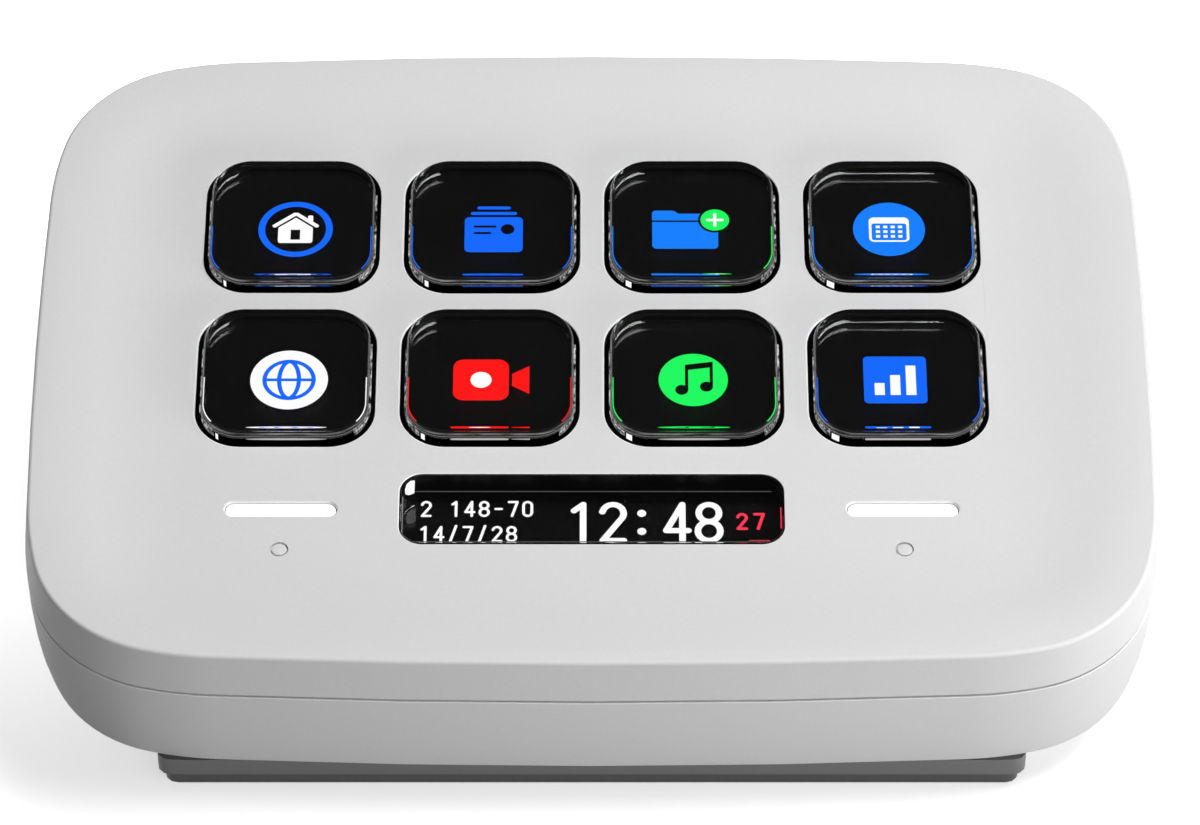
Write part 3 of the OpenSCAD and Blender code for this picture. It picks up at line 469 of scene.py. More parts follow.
# The outer bottom edges lie this near the sides and the ends
SIDE_REACH, END_REACH = 4.1, 1.3
AT_BOTTOM = 0.01
TO_MM = Matrix.Scale(1 / MM, 4)
FROM_MM = Matrix.Scale(MM, 4)

# Painted shade: both colours are dark greys that stand for the shade under the housing's overhang
plinth_abs = moulded_plastic("moulded_abs_painted_shade", "#646464", "#5C5C5C", roughness=0.35)
foot_rubber = moulded_plastic("moulded_rubber_painted_shade", "#3A3A39", "#343433", roughness=0.35, grain_mm=0.5)


def square_up(bm, corner):
    """Pulls the upright round corners of a plan out to squarer ones."""
    low = Vector(min(v.co[k] for v in bm.verts) for k in range(2))
    high = Vector(max(v.co[k] for v in bm.verts) for k in range(2))
    middle, half = (low + high) / 2, (high - low) / 2
    s = corner - SQUARER
    for v in bm.verts:
        out = [abs(v.co[k] - middle[k]) - half[k] + corner for k in range(2)]
        if min(out) <= 0:
            continue
        x, y = Vector(out).normalized()
        if min(x, y) * corner <= max(x, y) * s:
            reach = corner / max(x, y)
        else:
            reach = s * (x + y) + math.sqrt((s * (x + y)) ** 2 - 2 * s * s + SQUARER ** 2)
        for k in range(2):
            side = 1 if v.co[k] > middle[k] else -1
            v.co[k] = middle[k] + side * (half[k] - corner + out[k] * reach / corner)


for node, name, material, edge, corner, slot in (
    ("plinth", "plinth_wedge", plinth_abs, PLINTH_EDGE, PLINTH_CORNER, "plinth_plastic"),
    ("rubber_sole", "sole_pad", foot_rubber, SOLE_EDGE, SOLE_CORNER, "sole_rubber"),
):
    bm = merged_copy(node, TO_MM)
    square_up(bm, corner)
    lowest = min(v.co.z for v in bm.verts)
    side_x = max(v.co.x for v in bm.verts) - SIDE_REACH
    front_y = min(v.co.y for v in bm.verts) + END_REACH
    back_y = max(v.co.y for v in bm.verts) - END_REACH

    def on_outer_bottom(p):
        """On the outer bottom edge, not on the edge of the hollow."""
        at_outside = abs(p.x) > side_x or p.y < front_y or p.y > back_y
        return abs(p.z - lowest) < AT_BOTTOM and at_outside

    round_edges(bm, sharp_edges(bm, on_outer_bottom), edge, steps=3)
    piece = make_piece(name, bm, [material], matrix=FROM_MM)
    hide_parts(node)

# ---------------------------------------------------------------- key caps
# Eight blocks of clear acrylic, polished all over, with a small round top edge. Each is bonded to
# the display tile that rides under it.

ACRYLIC_IOR = 1.49
CAP_CORNER = 3.85
CAP_EDGE_W, CAP_EDGE_H = 0.5, 0.9
CAP_EDGE_STEPS = 10
CORNER_STEPS = 20
SAME_HEIGHT = 1e-4

clear_acrylic, tree, output = new_material("polished_acrylic")
surface_of(tree, output, {
    "Base Color": linear("#FFFFFF"), "Roughness": 0.0, "IOR": ACRYLIC_IOR,
    "Transmission Weight": 1.0,
})


def flat_faces(bm, w):
    """Faces that lie flat at a height."""
    return [f for f in bm.faces if all(abs(v.co.z - w) < SAME_HEIGHT for v in f.verts)]


def flat_edges(bm, w):
    """Edges that lie at a height."""
    return [e for e in bm.edges if all(abs(v.co.z - w) < SAME_HEIGHT for v in e.verts)]


def rounded_block(low, high, corner, steps=CORNER_STEPS):
    """An upright block between two corners, with its upright edges rounded."""
    bm = bmesh.new()
    place = Matrix.Translation((low + high) / 2) @ Matrix.Diagonal((*(high - low), 1))
    bmesh.ops.create_cube(bm, size=1.0, matrix=place)
    upright = [e for e in bm.edges if abs(e.verts[0].co.z - e.verts[1].co.z) > SAME_HEIGHT]
    round_edges(bm, upright, corner, steps)
    return bm


def dome_edge(bm, w, top):
    """Carries the face at a height up to the top in steps that round the edge off."""
    done = 0
    for step in range(1, CAP_EDGE_STEPS + 1):
        t = math.pi / 2 * step / CAP_EDGE_STEPS
        inset, rise = CAP_EDGE_W * (1 - math.cos(t)), CAP_EDGE_H * math.sin(t)
        inner = flat_faces(bm, w)
        bmesh.ops.inset_region(bm, faces=inner, thickness=inset - done, use_even_offset=True)
        new_w = top - CAP_EDGE_H + rise
        bmesh.ops.translate(bm, vec=(0, 0, new_w - w), verts=inner[0].verts)
        done, w = inset, new_w


for k in range(1, KEYS + 1):
    low, high = face_box(f"key_cap_{k}")
    bm = rounded_block(low, Vector((high.x, high.y, high.z - CAP_EDGE_H)), CAP_CORNER)
    dome_edge(bm, high.z - CAP_EDGE_H, high.z)
    cap = make_piece(f"clear_cap_{k}", bm, [clear_acrylic], body=f"key_{k}")
    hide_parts(f"key_cap_{k}")

# ---------------------------------------------------------------- display tiles
# Each cap is bonded to a black moulded frame whose flange keeps the key under the cover. A small
# panel of black glass lies in it, a little below the cap. A pressed tile stops on its contacts.

FLANGE_T = 0.6
FRAME_EDGE = 0.08
FRAME_WALL = 0.3
FRAME_CORNER_STEPS = 8
BOND = 0.02
PANEL_SUNK = 0.58
CONTACT_GAP = 0.01


def pull_face(bm, w, inset, new_w):
    """Insets the face at a height and moves what is inside to a new height."""
    inner = flat_faces(bm, w)
    bmesh.ops.inset_region(bm, faces=inner, thickness=inset, use_even_offset=True)
    pulled = bmesh.ops.extrude_face_region(bm, geom=inner)["geom"]
    pulled_verts = [g for g in pulled if isinstance(g, bmesh.types.BMVert)]
    bmesh.ops.translate(bm, vec=(0, 0, new_w - w), verts=pulled_verts)
    bmesh.ops.delete(bm, geom=inner, context="FACES")


def smooth_material(name, colour, spots, roughness, ior=1.5, metallic=0.0, spot_mm=3.0, gloss=0.5):
    """A smooth material whose tone changes a little over its surface."""
    material, tree, output = new_material(name)
    clouds = noise_in(tree, spot_mm, 3.0)
    surface_of(tree, output, {
        "Base Color": toned(tree, clouds, spots, colour), "Roughness": roughness, "IOR": ior,
        "Metallic": metallic, "Specular IOR Level": gloss,
    })
    return material


panel_glass = smooth_material("black_panel_glass", "#0B0B0C", "#090909", 0.12, gloss=0.2)
frame_black = smooth_material("black_frame_plastic", "#060606", "#040404", 0.35, gloss=0.15)
for k in range(1, KEYS + 1):
    low, high = face_box(f"key_screen_{k}")
    reach = face_box(f"key_cap_{k}")[0].x - low.x
    flange_top = low.z + FLANGE_T
    low.z += CONTACT_GAP
    flange_high = Vector((high.x, high.y, flange_top))
    bm = rounded_block(low, flange_high, CAP_CORNER + reach, FRAME_CORNER_STEPS)
    round_edges(bm, flat_edges(bm, flange_top), FRAME_EDGE, steps=2)
    pull_face(bm, flange_top, reach - FRAME_EDGE, high.z - BOND)
    pull_face(bm, high.z - BOND, FRAME_WALL, high.z - PANEL_SUNK)
    for face in bm.faces:
        face.material_index = 1
    for face in flat_faces(bm, high.z - PANEL_SUNK):
        face.material_index = 0
    screen = make_piece(f"display_tile_{k}", bm, [panel_glass, frame_black], body=f"key_{k}")
    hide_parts(f"key_screen_{k}")

# ---------------------------------------------------------------- silicone domes
# Under the flange of each cap lies a square ring of black silicone with a thin leaning web. In the
# keypad it buckles as the key goes down and closes a contact on the film; here it rides on the body
# and keeps its shape.

DOME_EDGE = 0.08
AT_TOP = 0.01

silicone = smooth_material(
    "black_silicone", "#171717", "#0C0C0C", 0.6, ior=1.41, spot_mm=10 / 9, gloss=0.15,
)
for k in range(1, KEYS + 1):
    low, high = face_box(f"key_dome_{k}")
    bm = merged_copy(f"key_dome_{k}")
    round_edges(bm, sharp_edges(bm, lambda p: p.z > high.z - AT_TOP), DOME_EDGE, steps=2)
    dome = make_piece(f"dome_ring_{k}", bm, [silicone])
    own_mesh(dome)
    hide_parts(f"key_dome_{k}")

# ---------------------------------------------------------------- key signs
# Each panel shows one plain sign in lit pixels. A sign is drawn as thin fields in face millimetres
# from its middle, in layers just over the panel's glass, and rides with its key.

LIGHT = 1.1


def lit_pixels(name, colour, light=LIGHT):
    """Pixels that shine in one colour."""
    material, tree, output = new_material(name)
    glow = add_node(tree, "ShaderNodeEmission", {"Color": linear(colour), "Strength": light})
    tree.links.new(glow.outputs[0], output.inputs["Surface"])
    return material


INKS = [
    lit_pixels("lit_white", "#FFFFFF"), lit_pixels("lit_blue", "#147FFF"),
    lit_pixels("lit_green", "#1EF85F"), lit_pixels("lit_red", "#FF1414"),
    lit_pixels("lit_rose", "#FF3A55"), panel_glass, lit_pixels("lit_deep_blue", "#1168FF"),
]
WHITE, BLUE, GREEN, RED, ROSE, DARK, DEEP = range(len(INKS))
LAYER = 0.004
ROUND_STEPS = 48


def ink_new(bm, kept, ink, layer):
    """Colours the faces that weren't there before and lifts them to their layer over the panel."""
    faces = [f for f in bm.faces if f not in kept]
    for f in faces:
        f.material_index = ink
    verts = list({v for f in faces for v in f.verts})
    bmesh.ops.translate(bm, vec=(0, 0, LAYER * layer), verts=verts)


def disc(bm, x, y, r, ink, layer=1, steps=ROUND_STEPS):
    """A filled circle."""
    kept = set(bm.faces)
    place = Matrix.Translation((x, y, 0))
    bmesh.ops.create_circle(bm, cap_ends=True, segments=steps, radius=r, matrix=place)
    ink_new(bm, kept, ink, layer)


def ring(bm, x, y, r, stroke, ink, layer=1, flat=1.0):
    """A ring of a stroke's width, which flat below 1 makes an ellipse."""
    kept = set(bm.faces)
    place = Matrix.Translation((x, y, 0)) @ Matrix.Diagonal((flat, 1, 1, 1))
    bmesh.ops.create_circle(bm, cap_ends=True, segments=ROUND_STEPS, radius=r, matrix=place)
    core = [f for f in bm.faces if f not in kept]
    bmesh.ops.inset_region(
        bm, faces=core, thickness=stroke, use_even_offset=True, use_boundary=True,
    )
    bmesh.ops.delete(bm, geom=core, context="FACES")
    ink_new(bm, kept, ink, layer)


def plate(bm, x, y, w, h, ink, layer=1, corner=0.0, angle=0.0):
    """A rectangle, with its corners rounded if asked, turned by an angle."""
    kept = set(bm.faces)
    turned = Matrix.Translation((x, y, 0)) @ Matrix.Rotation(angle, 4, "Z")
    place = turned @ Matrix.Diagonal((w / 2, h / 2, 1, 1))
    verts = bmesh.ops.create_grid(bm, x_segments=1, y_segments=1, size=1.0, matrix=place)["verts"]
    if corner:
        bmesh.ops.bevel(
            bm, geom=verts, offset=corner, offset_type="OFFSET", segments=6, profile=0.5,
            affect="VERTICES", clamp_overlap=True, material=-1,
        )
    ink_new(bm, kept, ink, layer)


def patch(bm, points, ink, layer=1):
    """A field with straight edges, its corners given counter-clockwise."""
    kept = set(bm.faces)
    bm.faces.new([bm.verts.new((x, y, 0)) for x, y in points])
    ink_new(bm, kept, ink, layer)


def draw_home(bm):
    ring(bm, 0, 0, 3.62, 0.66, DEEP)
    for side in (-1, 1):
        plate(bm, side * 1.08, 1.2, 2.86, 0.42, WHITE, layer=1, corner=0.2, angle=-side * 0.67)
    patch(bm, [(-1.68, -1.2), (1.68, -1.2), (1.68, 0.2), (0, 1.52), (-1.68, 0.2)], WHITE, layer=2)
    plate(bm, 0, -1.2, 3.36, 1.2, WHITE, layer=2, corner=0.28)
    plate(bm, 0, -0.72, 0.92, 1.3, DARK, layer=3)
    plate(bm, 1.42, 1.3, 0.5, 1.0, WHITE, layer=2, corner=0.12)


def draw_cards(bm):
    plate(bm, 0, -0.7, 5.65, 4.6, DEEP, corner=0.5)
    for y, w in ((2.08, 4.5), (2.8, 3.25)):
        plate(bm, 0, y, w, 0.4, DEEP, corner=0.18)
    plate(bm, -0.85, 0.35, 2.2, 0.28, DARK, layer=2, corner=0.13)
    plate(bm, -1.1, -0.5, 1.7, 0.28, DARK, layer=2, corner=0.13)
    disc(bm, 1.34, 0, 0.66, DARK, layer=2)


def draw_folder(bm):
    plate(bm, -0.6, -0.8, 6.4, 3.5, BLUE, corner=0.45)
    plate(bm, -0.6, 0.6, 6.4, 2.9, BLUE, corner=0.35)
    plate(bm, -2.7, 1.5, 2.2, 1.9, BLUE, layer=2, corner=0.35)
    patch(bm, [(-2.2, 1.0), (-1.05, 1.9), (-1.65, 2.4), (-2.2, 2.4)], BLUE, layer=2)
    plate(bm, -0.6, 1.05, 6.5, 0.2, DARK, layer=3)
    disc(bm, 2.3, 1.2, 1.64, DARK, layer=4)
    disc(bm, 2.3, 1.2, 1.4, GREEN, layer=5)
    plate(bm, 2.3, 1.2, 1.7, 0.3, WHITE, layer=6)
    plate(bm, 2.3, 1.2, 0.3, 1.7, WHITE, layer=6)


def draw_calendar(bm):
    disc(bm, 0, 0, 3.5, BLUE)
    plate(bm, 0, -0.05, 3.9, 3.2, WHITE, layer=2, corner=0.5)
    plate(bm, 0, -0.35, 3.4, 2.2, BLUE, layer=3, corner=0.25)
    for row in range(3):
        for column in range(4):
            plate(bm, -1.08 + 0.72 * column, 0.3 - 0.62 * row, 0.4, 0.34, WHITE, layer=4)


def draw_globe(bm):
    disc(bm, 0, 0, 3.7, WHITE)
    ring(bm, 0, 0, 2.55, 0.42, DEEP, layer=2)
    ring(bm, 0, 0, 2.5, 0.42, DEEP, layer=2, flat=0.46)
    plate(bm, 0, 0, 4.9, 0.36, DEEP, layer=2)


def draw_film_camera(bm):
    plate(bm, -1.0, 0, 5.3, 5.15, RED, corner=1.0)
    patch(bm, [(1.95, -0.75), (3.6, -1.75), (3.6, 1.75), (1.95, 0.75)], RED)
    disc(bm, -1.0, 0, 1.0, WHITE, layer=2)


def draw_note(bm):
    disc(bm, 0, 0, 3.3, GREEN)
    disc(bm, -1.1, -1.25, 0.62, DARK, layer=2)
    disc(bm, 1.25, -0.85, 0.62, DARK, layer=2)
    plate(bm, -0.63, 0.2, 0.3, 3.0, DARK, layer=2)
    plate(bm, 1.72, 0.6, 0.3, 3.0, DARK, layer=2)
    patch(bm, [(-0.78, 1.2), (1.87, 1.6), (1.87, 2.3), (-0.78, 1.9)], DARK, layer=2)


def draw_chart(bm):
    plate(bm, 0, 0, 6.0, 5.9, DEEP, corner=0.45)
    for k, height in enumerate((1.5, 2.5, 3.7)):
        plate(bm, -1.5 + 1.5 * k, -1.9 + height / 2, 0.95, height, WHITE, layer=2)


# ---------------------------------------------------------------- light caught by the caps
# A cap's round edge and walls catch the light of its sign as thin lines of the same colours, and
# break up the room's light into glints a millimetre long and less. Both are painted here as thin
# pieces that glow: painted reflections of the signs, and painted glints and highlights.

# Inks of the painted reflections and highlights: lit copies of the signs' colours, and greys
CAUGHT = len(INKS)
INKS += [
    lit_pixels("caught_white", "#FFFFFF", 0.55), lit_pixels("caught_blue", "#1E70FF", 0.45),
    lit_pixels("caught_green", "#1EF85F", 0.45), lit_pixels("caught_grey", "#FFFFFF", 0.30),
    lit_pixels("caught_dark_grey", "#FFFFFF", 0.08),
]
SOFT_WHITE, SOFT_BLUE, SOFT_GREEN, GREY, DARK_GREY = range(CAUGHT, len(INKS))
SOFT = {WHITE: SOFT_WHITE, BLUE: SOFT_BLUE, DEEP: SOFT_BLUE, GREEN: SOFT_GREEN, DARK: DARK}

# Painted glints along the sides, along the front and up the corners: brightest level, and the size
# of the waves along the frame's axes in millimetres
GLINT_WAVES = (
    ("caught_glints", 0.75, (0.2, 0.8, 0.2)),
    ("caught_dim_glints", 0.26, (2.2, 2.2, 0.1)),
    ("caught_streaks", 0.42, (0.14, 0.14, 0.7)),
)
WAVE_DARK, WAVE_BRIGHT = 0.42, 0.66
for name, level, sizes in GLINT_WAVES:
    glints, tree, output = new_material(name)
    place = add_node(tree, "ShaderNodeTexCoord")
    spread = add_node(
        tree, "ShaderNodeMapping",
        {"Vector": place.outputs["Object"], "Scale": tuple(1 / (size * MM) for size in sizes)},
    )
    waves = add_node(
        tree, "ShaderNodeTexNoise",
        {"Vector": spread.outputs["Vector"], "Scale": 1.0, "Detail": 2.0},
    )
    shown = add_node(
        tree, "ShaderNodeMapRange",
        {"Value": waves.outputs["Fac"], "From Min": WAVE_DARK, "From Max": WAVE_BRIGHT,
         "To Min": 0.0, "To Max": level},
    )
    surface_of(tree, output, {
        "Base Color": linear("#050505"), "Roughness": 0.4, "Emission Color": linear("#FFFFFF"),
        "Emission Strength": shown.outputs["Result"],
    })
    INKS.append(glints)
GLINTS, DIM_GLINTS, STREAKS = range(DARK_GREY + 1, len(INKS))

CATCH_T = 0.24       # width of the sign's line
CATCH_WIDER = 1.03   # its length against the sign's
CATCH_FLAT = 0.4     # height of its layers against the sign's
CATCH_IN = 0.02      # depth of a caught line inside the cap
FRONT_IN = 0.08      # from the round edge in to the sign's line
WALL_W = 0.38        # height of the line on the front wall
BAND_OUT = 0.012     # distance of a band outside the cap
STATIONS = 12
CORNER_STRIPS = 3


def flattened(sign, place):
    """A copy of a sign that is pressed into a line."""
    line = sign.copy()
    height = max(v.co.y for v in line.verts) - min(v.co.y for v in line.verts)
    shape = Matrix.Diagonal((CATCH_WIDER, CATCH_T / height, CATCH_FLAT, 1))
    bmesh.ops.transform(line, matrix=place @ shape, verts=line.verts)
    return line


def catch_on_front(sign, low, high, u):
    """A painted reflection: the sign's line just inside the cap's front edge."""
    v = low.y + CAP_EDGE_W + FRONT_IN + CATCH_T / 2
    return flattened(sign, Matrix.Translation((u, v, high.z - CATCH_IN)))


def catch_on_wall(sign, low, u, soft):
    """A painted reflection: the sign's line, upright behind the cap's front wall."""
    place = Matrix.Translation((u, low.y + CATCH_IN, WALL_W)) @ Matrix.Rotation(math.pi / 2, 4, "X")
    line = flattened(sign, place)
    for face in line.faces:
        face.material_index = soft.get(face.material_index, SOFT_WHITE)
    return line


def direction(degrees):
    """A direction in the plane of the face."""
    return Vector((math.cos(math.radians(degrees)), math.sin(math.radians(degrees)), 0))


def corner_centre(low, high, u, v):
    """The middle of a cap, moved by parts of the way to the centres of its corners."""
    reach = (high.x - low.x) / 2 - CAP_CORNER
    return Vector(((low.x + high.x) / 2 + u * reach, (low.y + high.y) / 2 + v * reach, 0))


def strip(bm, rows, ink):
    """Faces between rows of two places."""
    rows = [[bm.verts.new(place) for place in row] for row in rows]
    for (a, b), (c, d) in zip(rows, rows[1:]):
        bm.faces.new([a, c, d, b]).material_index = ink


def stations_down(side, top, sweep):
    """From a height on one side of the cap down to its front corner and a way round it."""
    start = 180 if side < 0 else 360
    round_corner = [((side, -1), start - side * sweep * k / STATIONS) for k in range(STATIONS + 1)]
    return [((side, top), start)] + round_corner


def catch_round(bm, low, high, stations, inset, width, ink):
    """A thin painted line along the cap's round edge, or beside it if the inset is negative."""
    across = 1 - min(max(inset / CAP_EDGE_W, 0), 1)
    w = high.z - CAP_EDGE_H * (1 - math.sqrt(1 - across ** 2)) - CATCH_IN
    rows = []
    for (u, v), degrees in stations:
        foot = corner_centre(low, high, u, v) + Vector((0, 0, w))
        radii = (CAP_CORNER - inset, CAP_CORNER - inset - width)
        rows.append([foot + direction(degrees) * radius for radius in radii])
    strip(bm, rows, ink)


def catch_band(bm, low, high, stations, w_low, w_high, ink):
    """A thin painted band on the outside of the cap's wall and round edge, between two heights."""
    rows = []
    for (u, v), degrees in stations:
        row = []
        for w in (w_low, w_high):
            up = max((w - high.z) / CAP_EDGE_H + 1, 0)
            radius = CAP_CORNER - CAP_EDGE_W * (1 - math.sqrt(1 - up ** 2)) + BAND_OUT
            foot = corner_centre(low, high, u, v) + Vector((0, 0, w))
            row.append(foot + direction(degrees) * radius)
        rows.append(row)
    strip(bm, rows, ink)


def catch_on_corner(bm, low, high, start, end, w_low, w_high, ink):
    """A painted upright patch behind the wall of a front corner, between two directions."""
    rows = []
    for step in range(CORNER_STRIPS + 1):
        out = direction(start + (end - start) * step / CORNER_STRIPS)
        foot = corner_centre(low, high, math.copysign(1, out.x), -1) + out * (CAP_CORNER - CATCH_IN)
        rows.append([foot + Vector((0, 0, w)) for w in (w_low, w_high)])
    strip(bm, rows, ink)


LEFT, RIGHT = -1, 1
ROUND_FRONT = stations_down(LEFT, 0.9, 90) + stations_down(RIGHT, 0.9, 90)[::-1]
LOW_FRONT = stations_down(LEFT, -0.5, 90) + stations_down(RIGHT, -0.5, 90)[::-1]
# Painted lines round the edge, highlights and glints: stations, inset from the cap's side, width,
# ink
SIGN_LINE_IN, SIGN_LINE_W = 0.24, 0.12
EDGE_LINES = (
    (ROUND_FRONT, 0.03, 0.06, GREY),
    (ROUND_FRONT, 0.14, 0.12, DARK_GREY),
    (stations_down(LEFT, 0.8, 50), -0.09, 0.09, GLINTS),
    (stations_down(RIGHT, 0.95, 50), -0.16, 0.16, GLINTS),
)
# Bands of painted glints on the walls: stations, lowest and highest place, ink
WALL_BANDS = (
    (LOW_FRONT, 0.9, 1.05, DIM_GLINTS),
    (stations_down(LEFT, -0.9, 50), -0.2, 0.8, STREAKS),
    (stations_down(RIGHT, -0.9, 50), -0.2, 0.8, STREAKS),
)
# Painted highlights behind the front corners: two directions, lowest and highest place, ink. The
# white tick, a painted highlight, is wider in each column further right
TICK_START = 233
TICK_SWEEP = (4.5, 6.5, 9.5, 12.0)
TICK_LOW, TICK_HIGH = -0.4, 0.4
CORNER_PATCHES = (
    (205, 225, -0.3, 0.4, DARK_GREY),
    (312, 335, -0.3, 0.4, DARK_GREY),
)

# Each key's sign, and the inks of its lines on the left and the right edge
SIGNS = (
    (draw_home, DEEP, DEEP), (draw_cards, DEEP, DEEP),
    (draw_folder, BLUE, GREEN), (draw_calendar, BLUE, BLUE),
    (draw_globe, WHITE, WHITE), (draw_film_camera, RED, RED),
    (draw_note, GREEN, GREEN), (draw_chart, DEEP, DEEP),
)
# How far a column's signs stand to the right of the middle of their keys
SIGN_U = (0.26, 0.14, -0.05, -0.22)
for k, (draw, left_ink, right_ink) in enumerate(SIGNS):
    low, high = face_box(f"key_cap_{k + 1}")
    column = k % COLUMNS
    u, v = (low.x + high.x) / 2 + SIGN_U[column], (low.y + high.y) / 2
    sign = bmesh.new()
    draw(sign)
    lines = catch_on_front(sign, low, high, u)
    # The sign's painted reflection on the front wall: the upper row's keeps its colours, and the
    # lower row's is white
    wall_line = catch_on_wall(sign, low, u, SOFT if k < COLUMNS else {})
    bmesh.ops.translate(sign, verts=sign.verts, vec=(u, v, low.z - PANEL_SUNK))
    # Painted reflections of the sign along the left and right round edges
    for side, ink in ((LEFT, left_ink), (RIGHT, right_ink)):
        stations = stations_down(side, -0.22, 40)
        catch_round(lines, low, high, stations, SIGN_LINE_IN, SIGN_LINE_W, ink)
    for stations, inset, width, ink in EDGE_LINES:
        catch_round(lines, low, high, stations, inset, width, ink)
    for stations, w_low, w_high, ink in WALL_BANDS:
        catch_band(lines, low, high, stations, w_low, w_high, ink)
    tick = (TICK_START, TICK_START + TICK_SWEEP[column], TICK_LOW, TICK_HIGH, WHITE)
    for start, end, w_low, w_high, ink in (tick, *CORNER_PATCHES):
        catch_on_corner(lines, low, high, start, end, w_low, w_high, ink)
    for name, mesh in (("key_sign", sign), ("edge_light", lines), ("wall_light", wall_line)):
        piece = make_piece(f"{name}_{k + 1}", mesh, INKS, body=f"key_{k + 1}", weighted=False)

# ---------------------------------------------------------------- window numbers
# The small panel shows a clock: large figures, two short rows of small figures that the lens's
# lower edge cuts, and a red seconds count. The figures are single strokes of one width.


def dress(material, *nodes):
    """Gives CAD nodes that keep their own shape a material."""
    for node in nodes:
        slots = frame["nodes"][node].data.materials
        slots.clear()
        slots.append(material)


def arc(x, y, r, start, end, steps=10):
    """Points on an arc of one of the figures."""
    angles = [math.radians(start + (end - start) * k / steps) for k in range(steps + 1)]
    return [(x + r * math.cos(angle), y + r * math.sin(angle)) for angle in angles]


# Figures 2 wide and 4 high, as paths of straight strokes
FIGURES = {
    "0": [arc(1, 3, 1, 0, 180) + arc(1, 1, 1, 180, 360) + [(2, 3)]],
    "1": [[(0.35, 3.3), (1.2, 4), (1.2, 0)]],
    "2": [arc(1, 3, 1, 170, -25) + [(0.05, 0), (2, 0)]],
    "4": [[(1.5, 0), (1.5, 4), (0.0, 1.1), (2.05, 1.1)]],
    "7": [[(0.0, 4), (2, 4), (0.75, 0)]],
    "8": [arc(1, 3.05, 0.95, -90, 270, 20), arc(1, 1.05, 1.05, -90, 270, 20)],
    "/": [[(0.2, -0.3), (1.6, 4.3)]],
    "-": [[(0.3, 2), (1.7, 2)]],
    ":": [[(0.7, 1.0), (0.7, 1.02)], [(0.7, 3.0), (0.7, 3.02)]],
}
FIGURE_H = 4
NARROW = 0.92
COLON_DOT = 1.35
POINT_STEPS = 24


def write_figures(bm, text, left, top, height, pitch, stroke, ink):
    """Writes figures in single strokes with round ends, from a top left corner."""
    unit = (height - stroke) / FIGURE_H
    for k, figure in enumerate(text):
        if figure == " ":
            continue
        x0, y0 = left + stroke / 2 + k * pitch, top - height + stroke / 2
        for path in FIGURES[figure]:
            points = [Vector((x0 + x * unit * NARROW, y0 + y * unit)) for x, y in path]
            for a, b in zip(points, points[1:]):
                middle, along = (a + b) / 2, b - a
                angle = math.atan2(along.y, along.x)
                plate(bm, middle.x, middle.y, along.length, stroke, ink, angle=angle)
            radius = stroke / 2 * (COLON_DOT if figure == ":" else 1)
            for p in points:
                disc(bm, p.x, p.y, radius, ink, steps=POINT_STEPS)


# Text, left, top, height, pitch, stroke, ink
WINDOW_TEXTS = (
    ("12:48", -2.33, 2.82, 5.0, 3.0, 0.62, WHITE),
    ("2 148-70", -16.06, 2.94, 1.95, 1.36, 0.26, WHITE),
    ("14/7/28", -16.19, -0.11, 1.95, 1.36, 0.26, WHITE),
    ("27", 13.53, 1.48, 2.07, 1.6, 0.31, ROSE),
)
bm = bmesh.new()
for text in WINDOW_TEXTS:
    write_figures(bm, *text)
# A faint painted highlight along the panel's back edge
plate(bm, 0, 4.1, 34.2, 0.12, DARK_GREY)
dress(panel_glass, "info_display")
panel_w = face_box("info_display")[1].z
bmesh.ops.translate(bm, verts=bm.verts, vec=(0, WINDOW_V, panel_w))
figures = make_piece("window_figures", bm, INKS, weighted=False)

# ---------------------------------------------------------------- window lens
# A thick bar of the same clear acrylic, level with the face and glued under the cover. Its sides
# are painted black, so that only the panel below shows through it.

LENS_CORNER = 2.08
LENS_EDGE = 0.15
LENS_FLANGE = 0.9
LIGHT_IN = 0.03

black_paint = smooth_material("black_paint_on_sides", "#050505", "#040404", 0.35, gloss=0.04)
low, high = face_box("info_lens")
flange = Vector((LENS_FLANGE, LENS_FLANGE, 0))
bm = rounded_block(low + flange, high - flange, LENS_CORNER)
for face in bm.faces:
    face.material_index = 1 if abs(face.normal.z) < UPRIGHT else 0
round_edges(bm, flat_edges(bm, high.z), LENS_EDGE, steps=3)
for face in bm.faces:
    if face.calc_center_median().z > high.z - LENS_EDGE:
        face.material_index = 0
lens = make_piece("window_lens", bm, [clear_acrylic, black_paint])
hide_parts("info_lens")

# Painted highlights and reflections on the lens's edges: a white gleam at the back left corner, a
# faint line along the front, a grey line down the left side and red lines at the right
CORNER_GLEAM = [
    (-16.6, 1.9), (-16.6, 3.45), (-17.0, 3.4), (-17.35, 3.0),
    (-17.5, 2.3), (-17.45, 1.75), (-17.1, 1.65),
]
bm = bmesh.new()
patch(bm, CORNER_GLEAM, WHITE)
plate(bm, 0, -4.0, 33.4, 0.11, DARK_GREY)
plate(bm, -17.68, -0.7, 0.07, 4.4, GREY)
plate(bm, 17.66, -1.1, 0.09, 2.6, ROSE)
plate(bm, 15.6, -3.84, 1.9, 0.07, ROSE)
bmesh.ops.translate(bm, verts=bm.verts, vec=(0, WINDOW_V, high.z - LIGHT_IN))
lens_light = make_piece("lens_painted_highlights", bm, INKS, weighted=False)

# ---------------------------------------------------------------- light bars
# Two short bars of milky acrylic, sunk a little in their slots and lit from below by small lamps.
# Their tops shine. Their sides don't shine and are a darker copy of the acrylic, which is painted
# shade.

BAR_EDGE = 0.1
CLOUD_MM = 4.0
GLOW_LOW, GLOW_HIGH = 0.92, 1.05

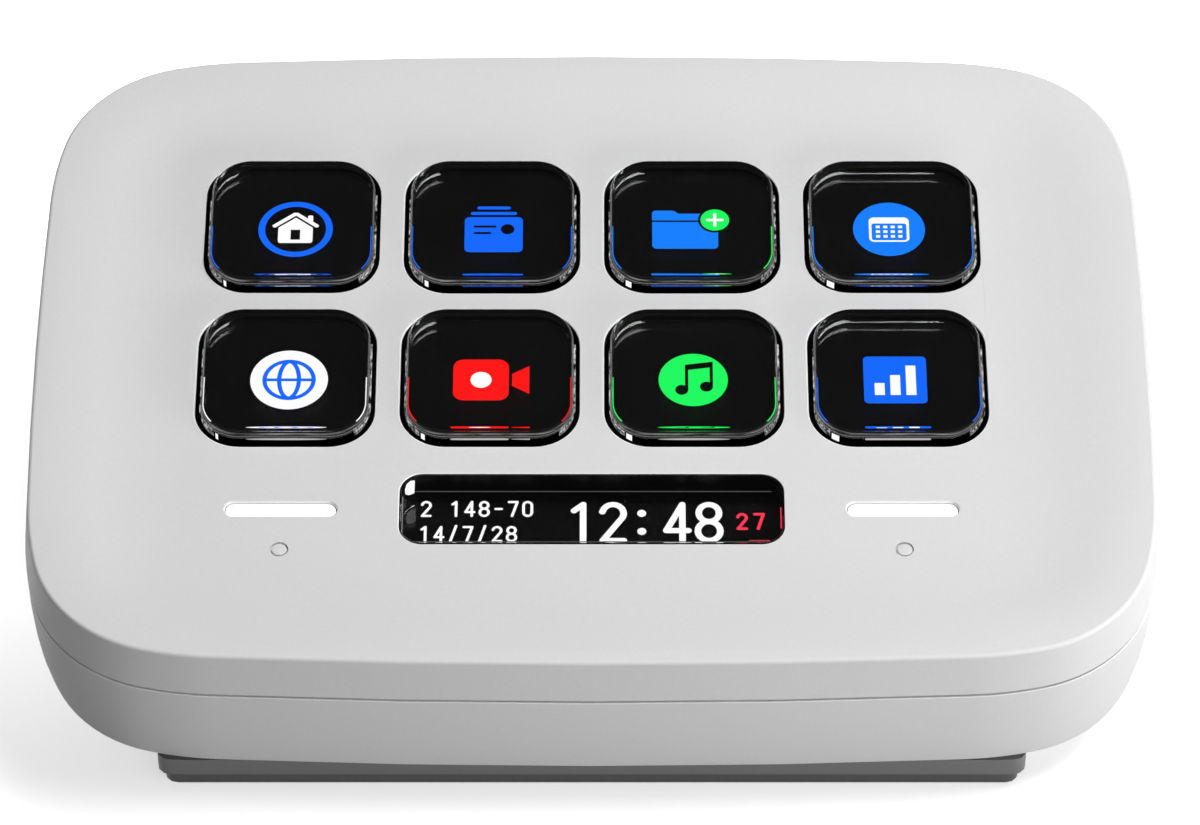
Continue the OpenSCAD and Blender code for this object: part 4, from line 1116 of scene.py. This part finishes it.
milky, tree, output = new_material("lit_milky_acrylic")
clouds = noise_in(tree, CLOUD_MM, 1.0)
glow_level = add_node(
    tree, "ShaderNodeMapRange",
    {"Value": clouds.outputs["Fac"], "To Min": GLOW_LOW, "To Max": GLOW_HIGH},
)
surface_of(tree, output, {
    "Base Color": linear("#F4F4F4"), "Roughness": 0.25, "IOR": ACRYLIC_IOR,
    "Emission Color": linear("#FFFFFF"), "Emission Strength": glow_level.outputs["Result"],
})
milky_shaded_copy = smooth_material("milky_acrylic_side_painted_shade", "#E6E6E6", "#E0E0E0", 0.25)
for side in ("left", "right"):
    node = f"light_bar_{side}"
    low, high = face_box(node)
    bm = merged_copy(node)
    round_edges(bm, sharp_edges(bm, lambda p: p.z > high.z - AT_TOP), BAR_EDGE, steps=2)
    # Faces below the round top edge get the darker copy, which is painted shade
    for face in bm.faces:
        face.material_index = 0 if face.calc_center_median().z > high.z - BAR_EDGE else 1
    bar = make_piece(f"lit_bar_{side}", bm, [milky, milky_shaded_copy])
    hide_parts(node)

# ---------------------------------------------------------------- inner parts
# The moulded carrier, circuit boards, chips, flat cables, ballast plate and screws keep the shape
# of the frame's nodes. Each gets a plain finish of what it is made of.

dress(
    moulded_plastic("black_carrier_plastic", "#2A2C2F", "#222427", roughness=0.45),
    "display_carrier",
)
# Material, colour, tone of its spots, roughness, metallic, size of the spots, gloss, nodes
INNER_FINISHES = (
    ("black_polyester_film", "#101011", "#0C0C0D", 0.6, 0.0, 3.0, 0.1, ["contact_film"]),
    ("green_circuit_board", "#1F4D3A", "#173D2E", 0.35, 0.0, 1.2, 0.5,
     ["key_board", "main_board", "touch_board_left", "touch_board_right"]),
    ("chip_resin", "#1A1A1C", "#222224", 0.5, 0.0, 0.6, 0.5, ["board_chips", "key_contacts"]),
    ("lamp_phosphor", "#F5E9B8", "#F0DFA0", 0.4, 0.0, 3.0, 0.5, ["bar_lamps"]),
    ("amber_flat_cable", "#B5701E", "#A5641A", 0.3, 0.0, 3.0, 0.5, ["key_ribbon", "touch_ribbons"]),
    ("stamped_socket_steel", "#C6C8CA", "#BEC0C2", 0.25, 1.0, 0.8, 0.5, ["cable_socket"]),
    ("zinc_plated_plate", "#B8BCC0", "#A4A8AC", 0.38, 1.0, 3.0, 0.5,
     ["ballast_plate", "stiffener_plate"]),
    ("bright_screw_steel", "#C2C4C6", "#B4B6B8", 0.3, 1.0, 3.0, 0.5,
     ["ballast_screws", "carrier_screws", "board_screws", "housing_screws", "plinth_screws"]),
)
for name, colour, spots, roughness, metallic, spot_mm, gloss, nodes in INNER_FINISHES:
    finish = smooth_material(
        name, colour, spots, roughness, metallic=metallic, spot_mm=spot_mm, gloss=gloss,
    )
    dress(finish, *nodes)
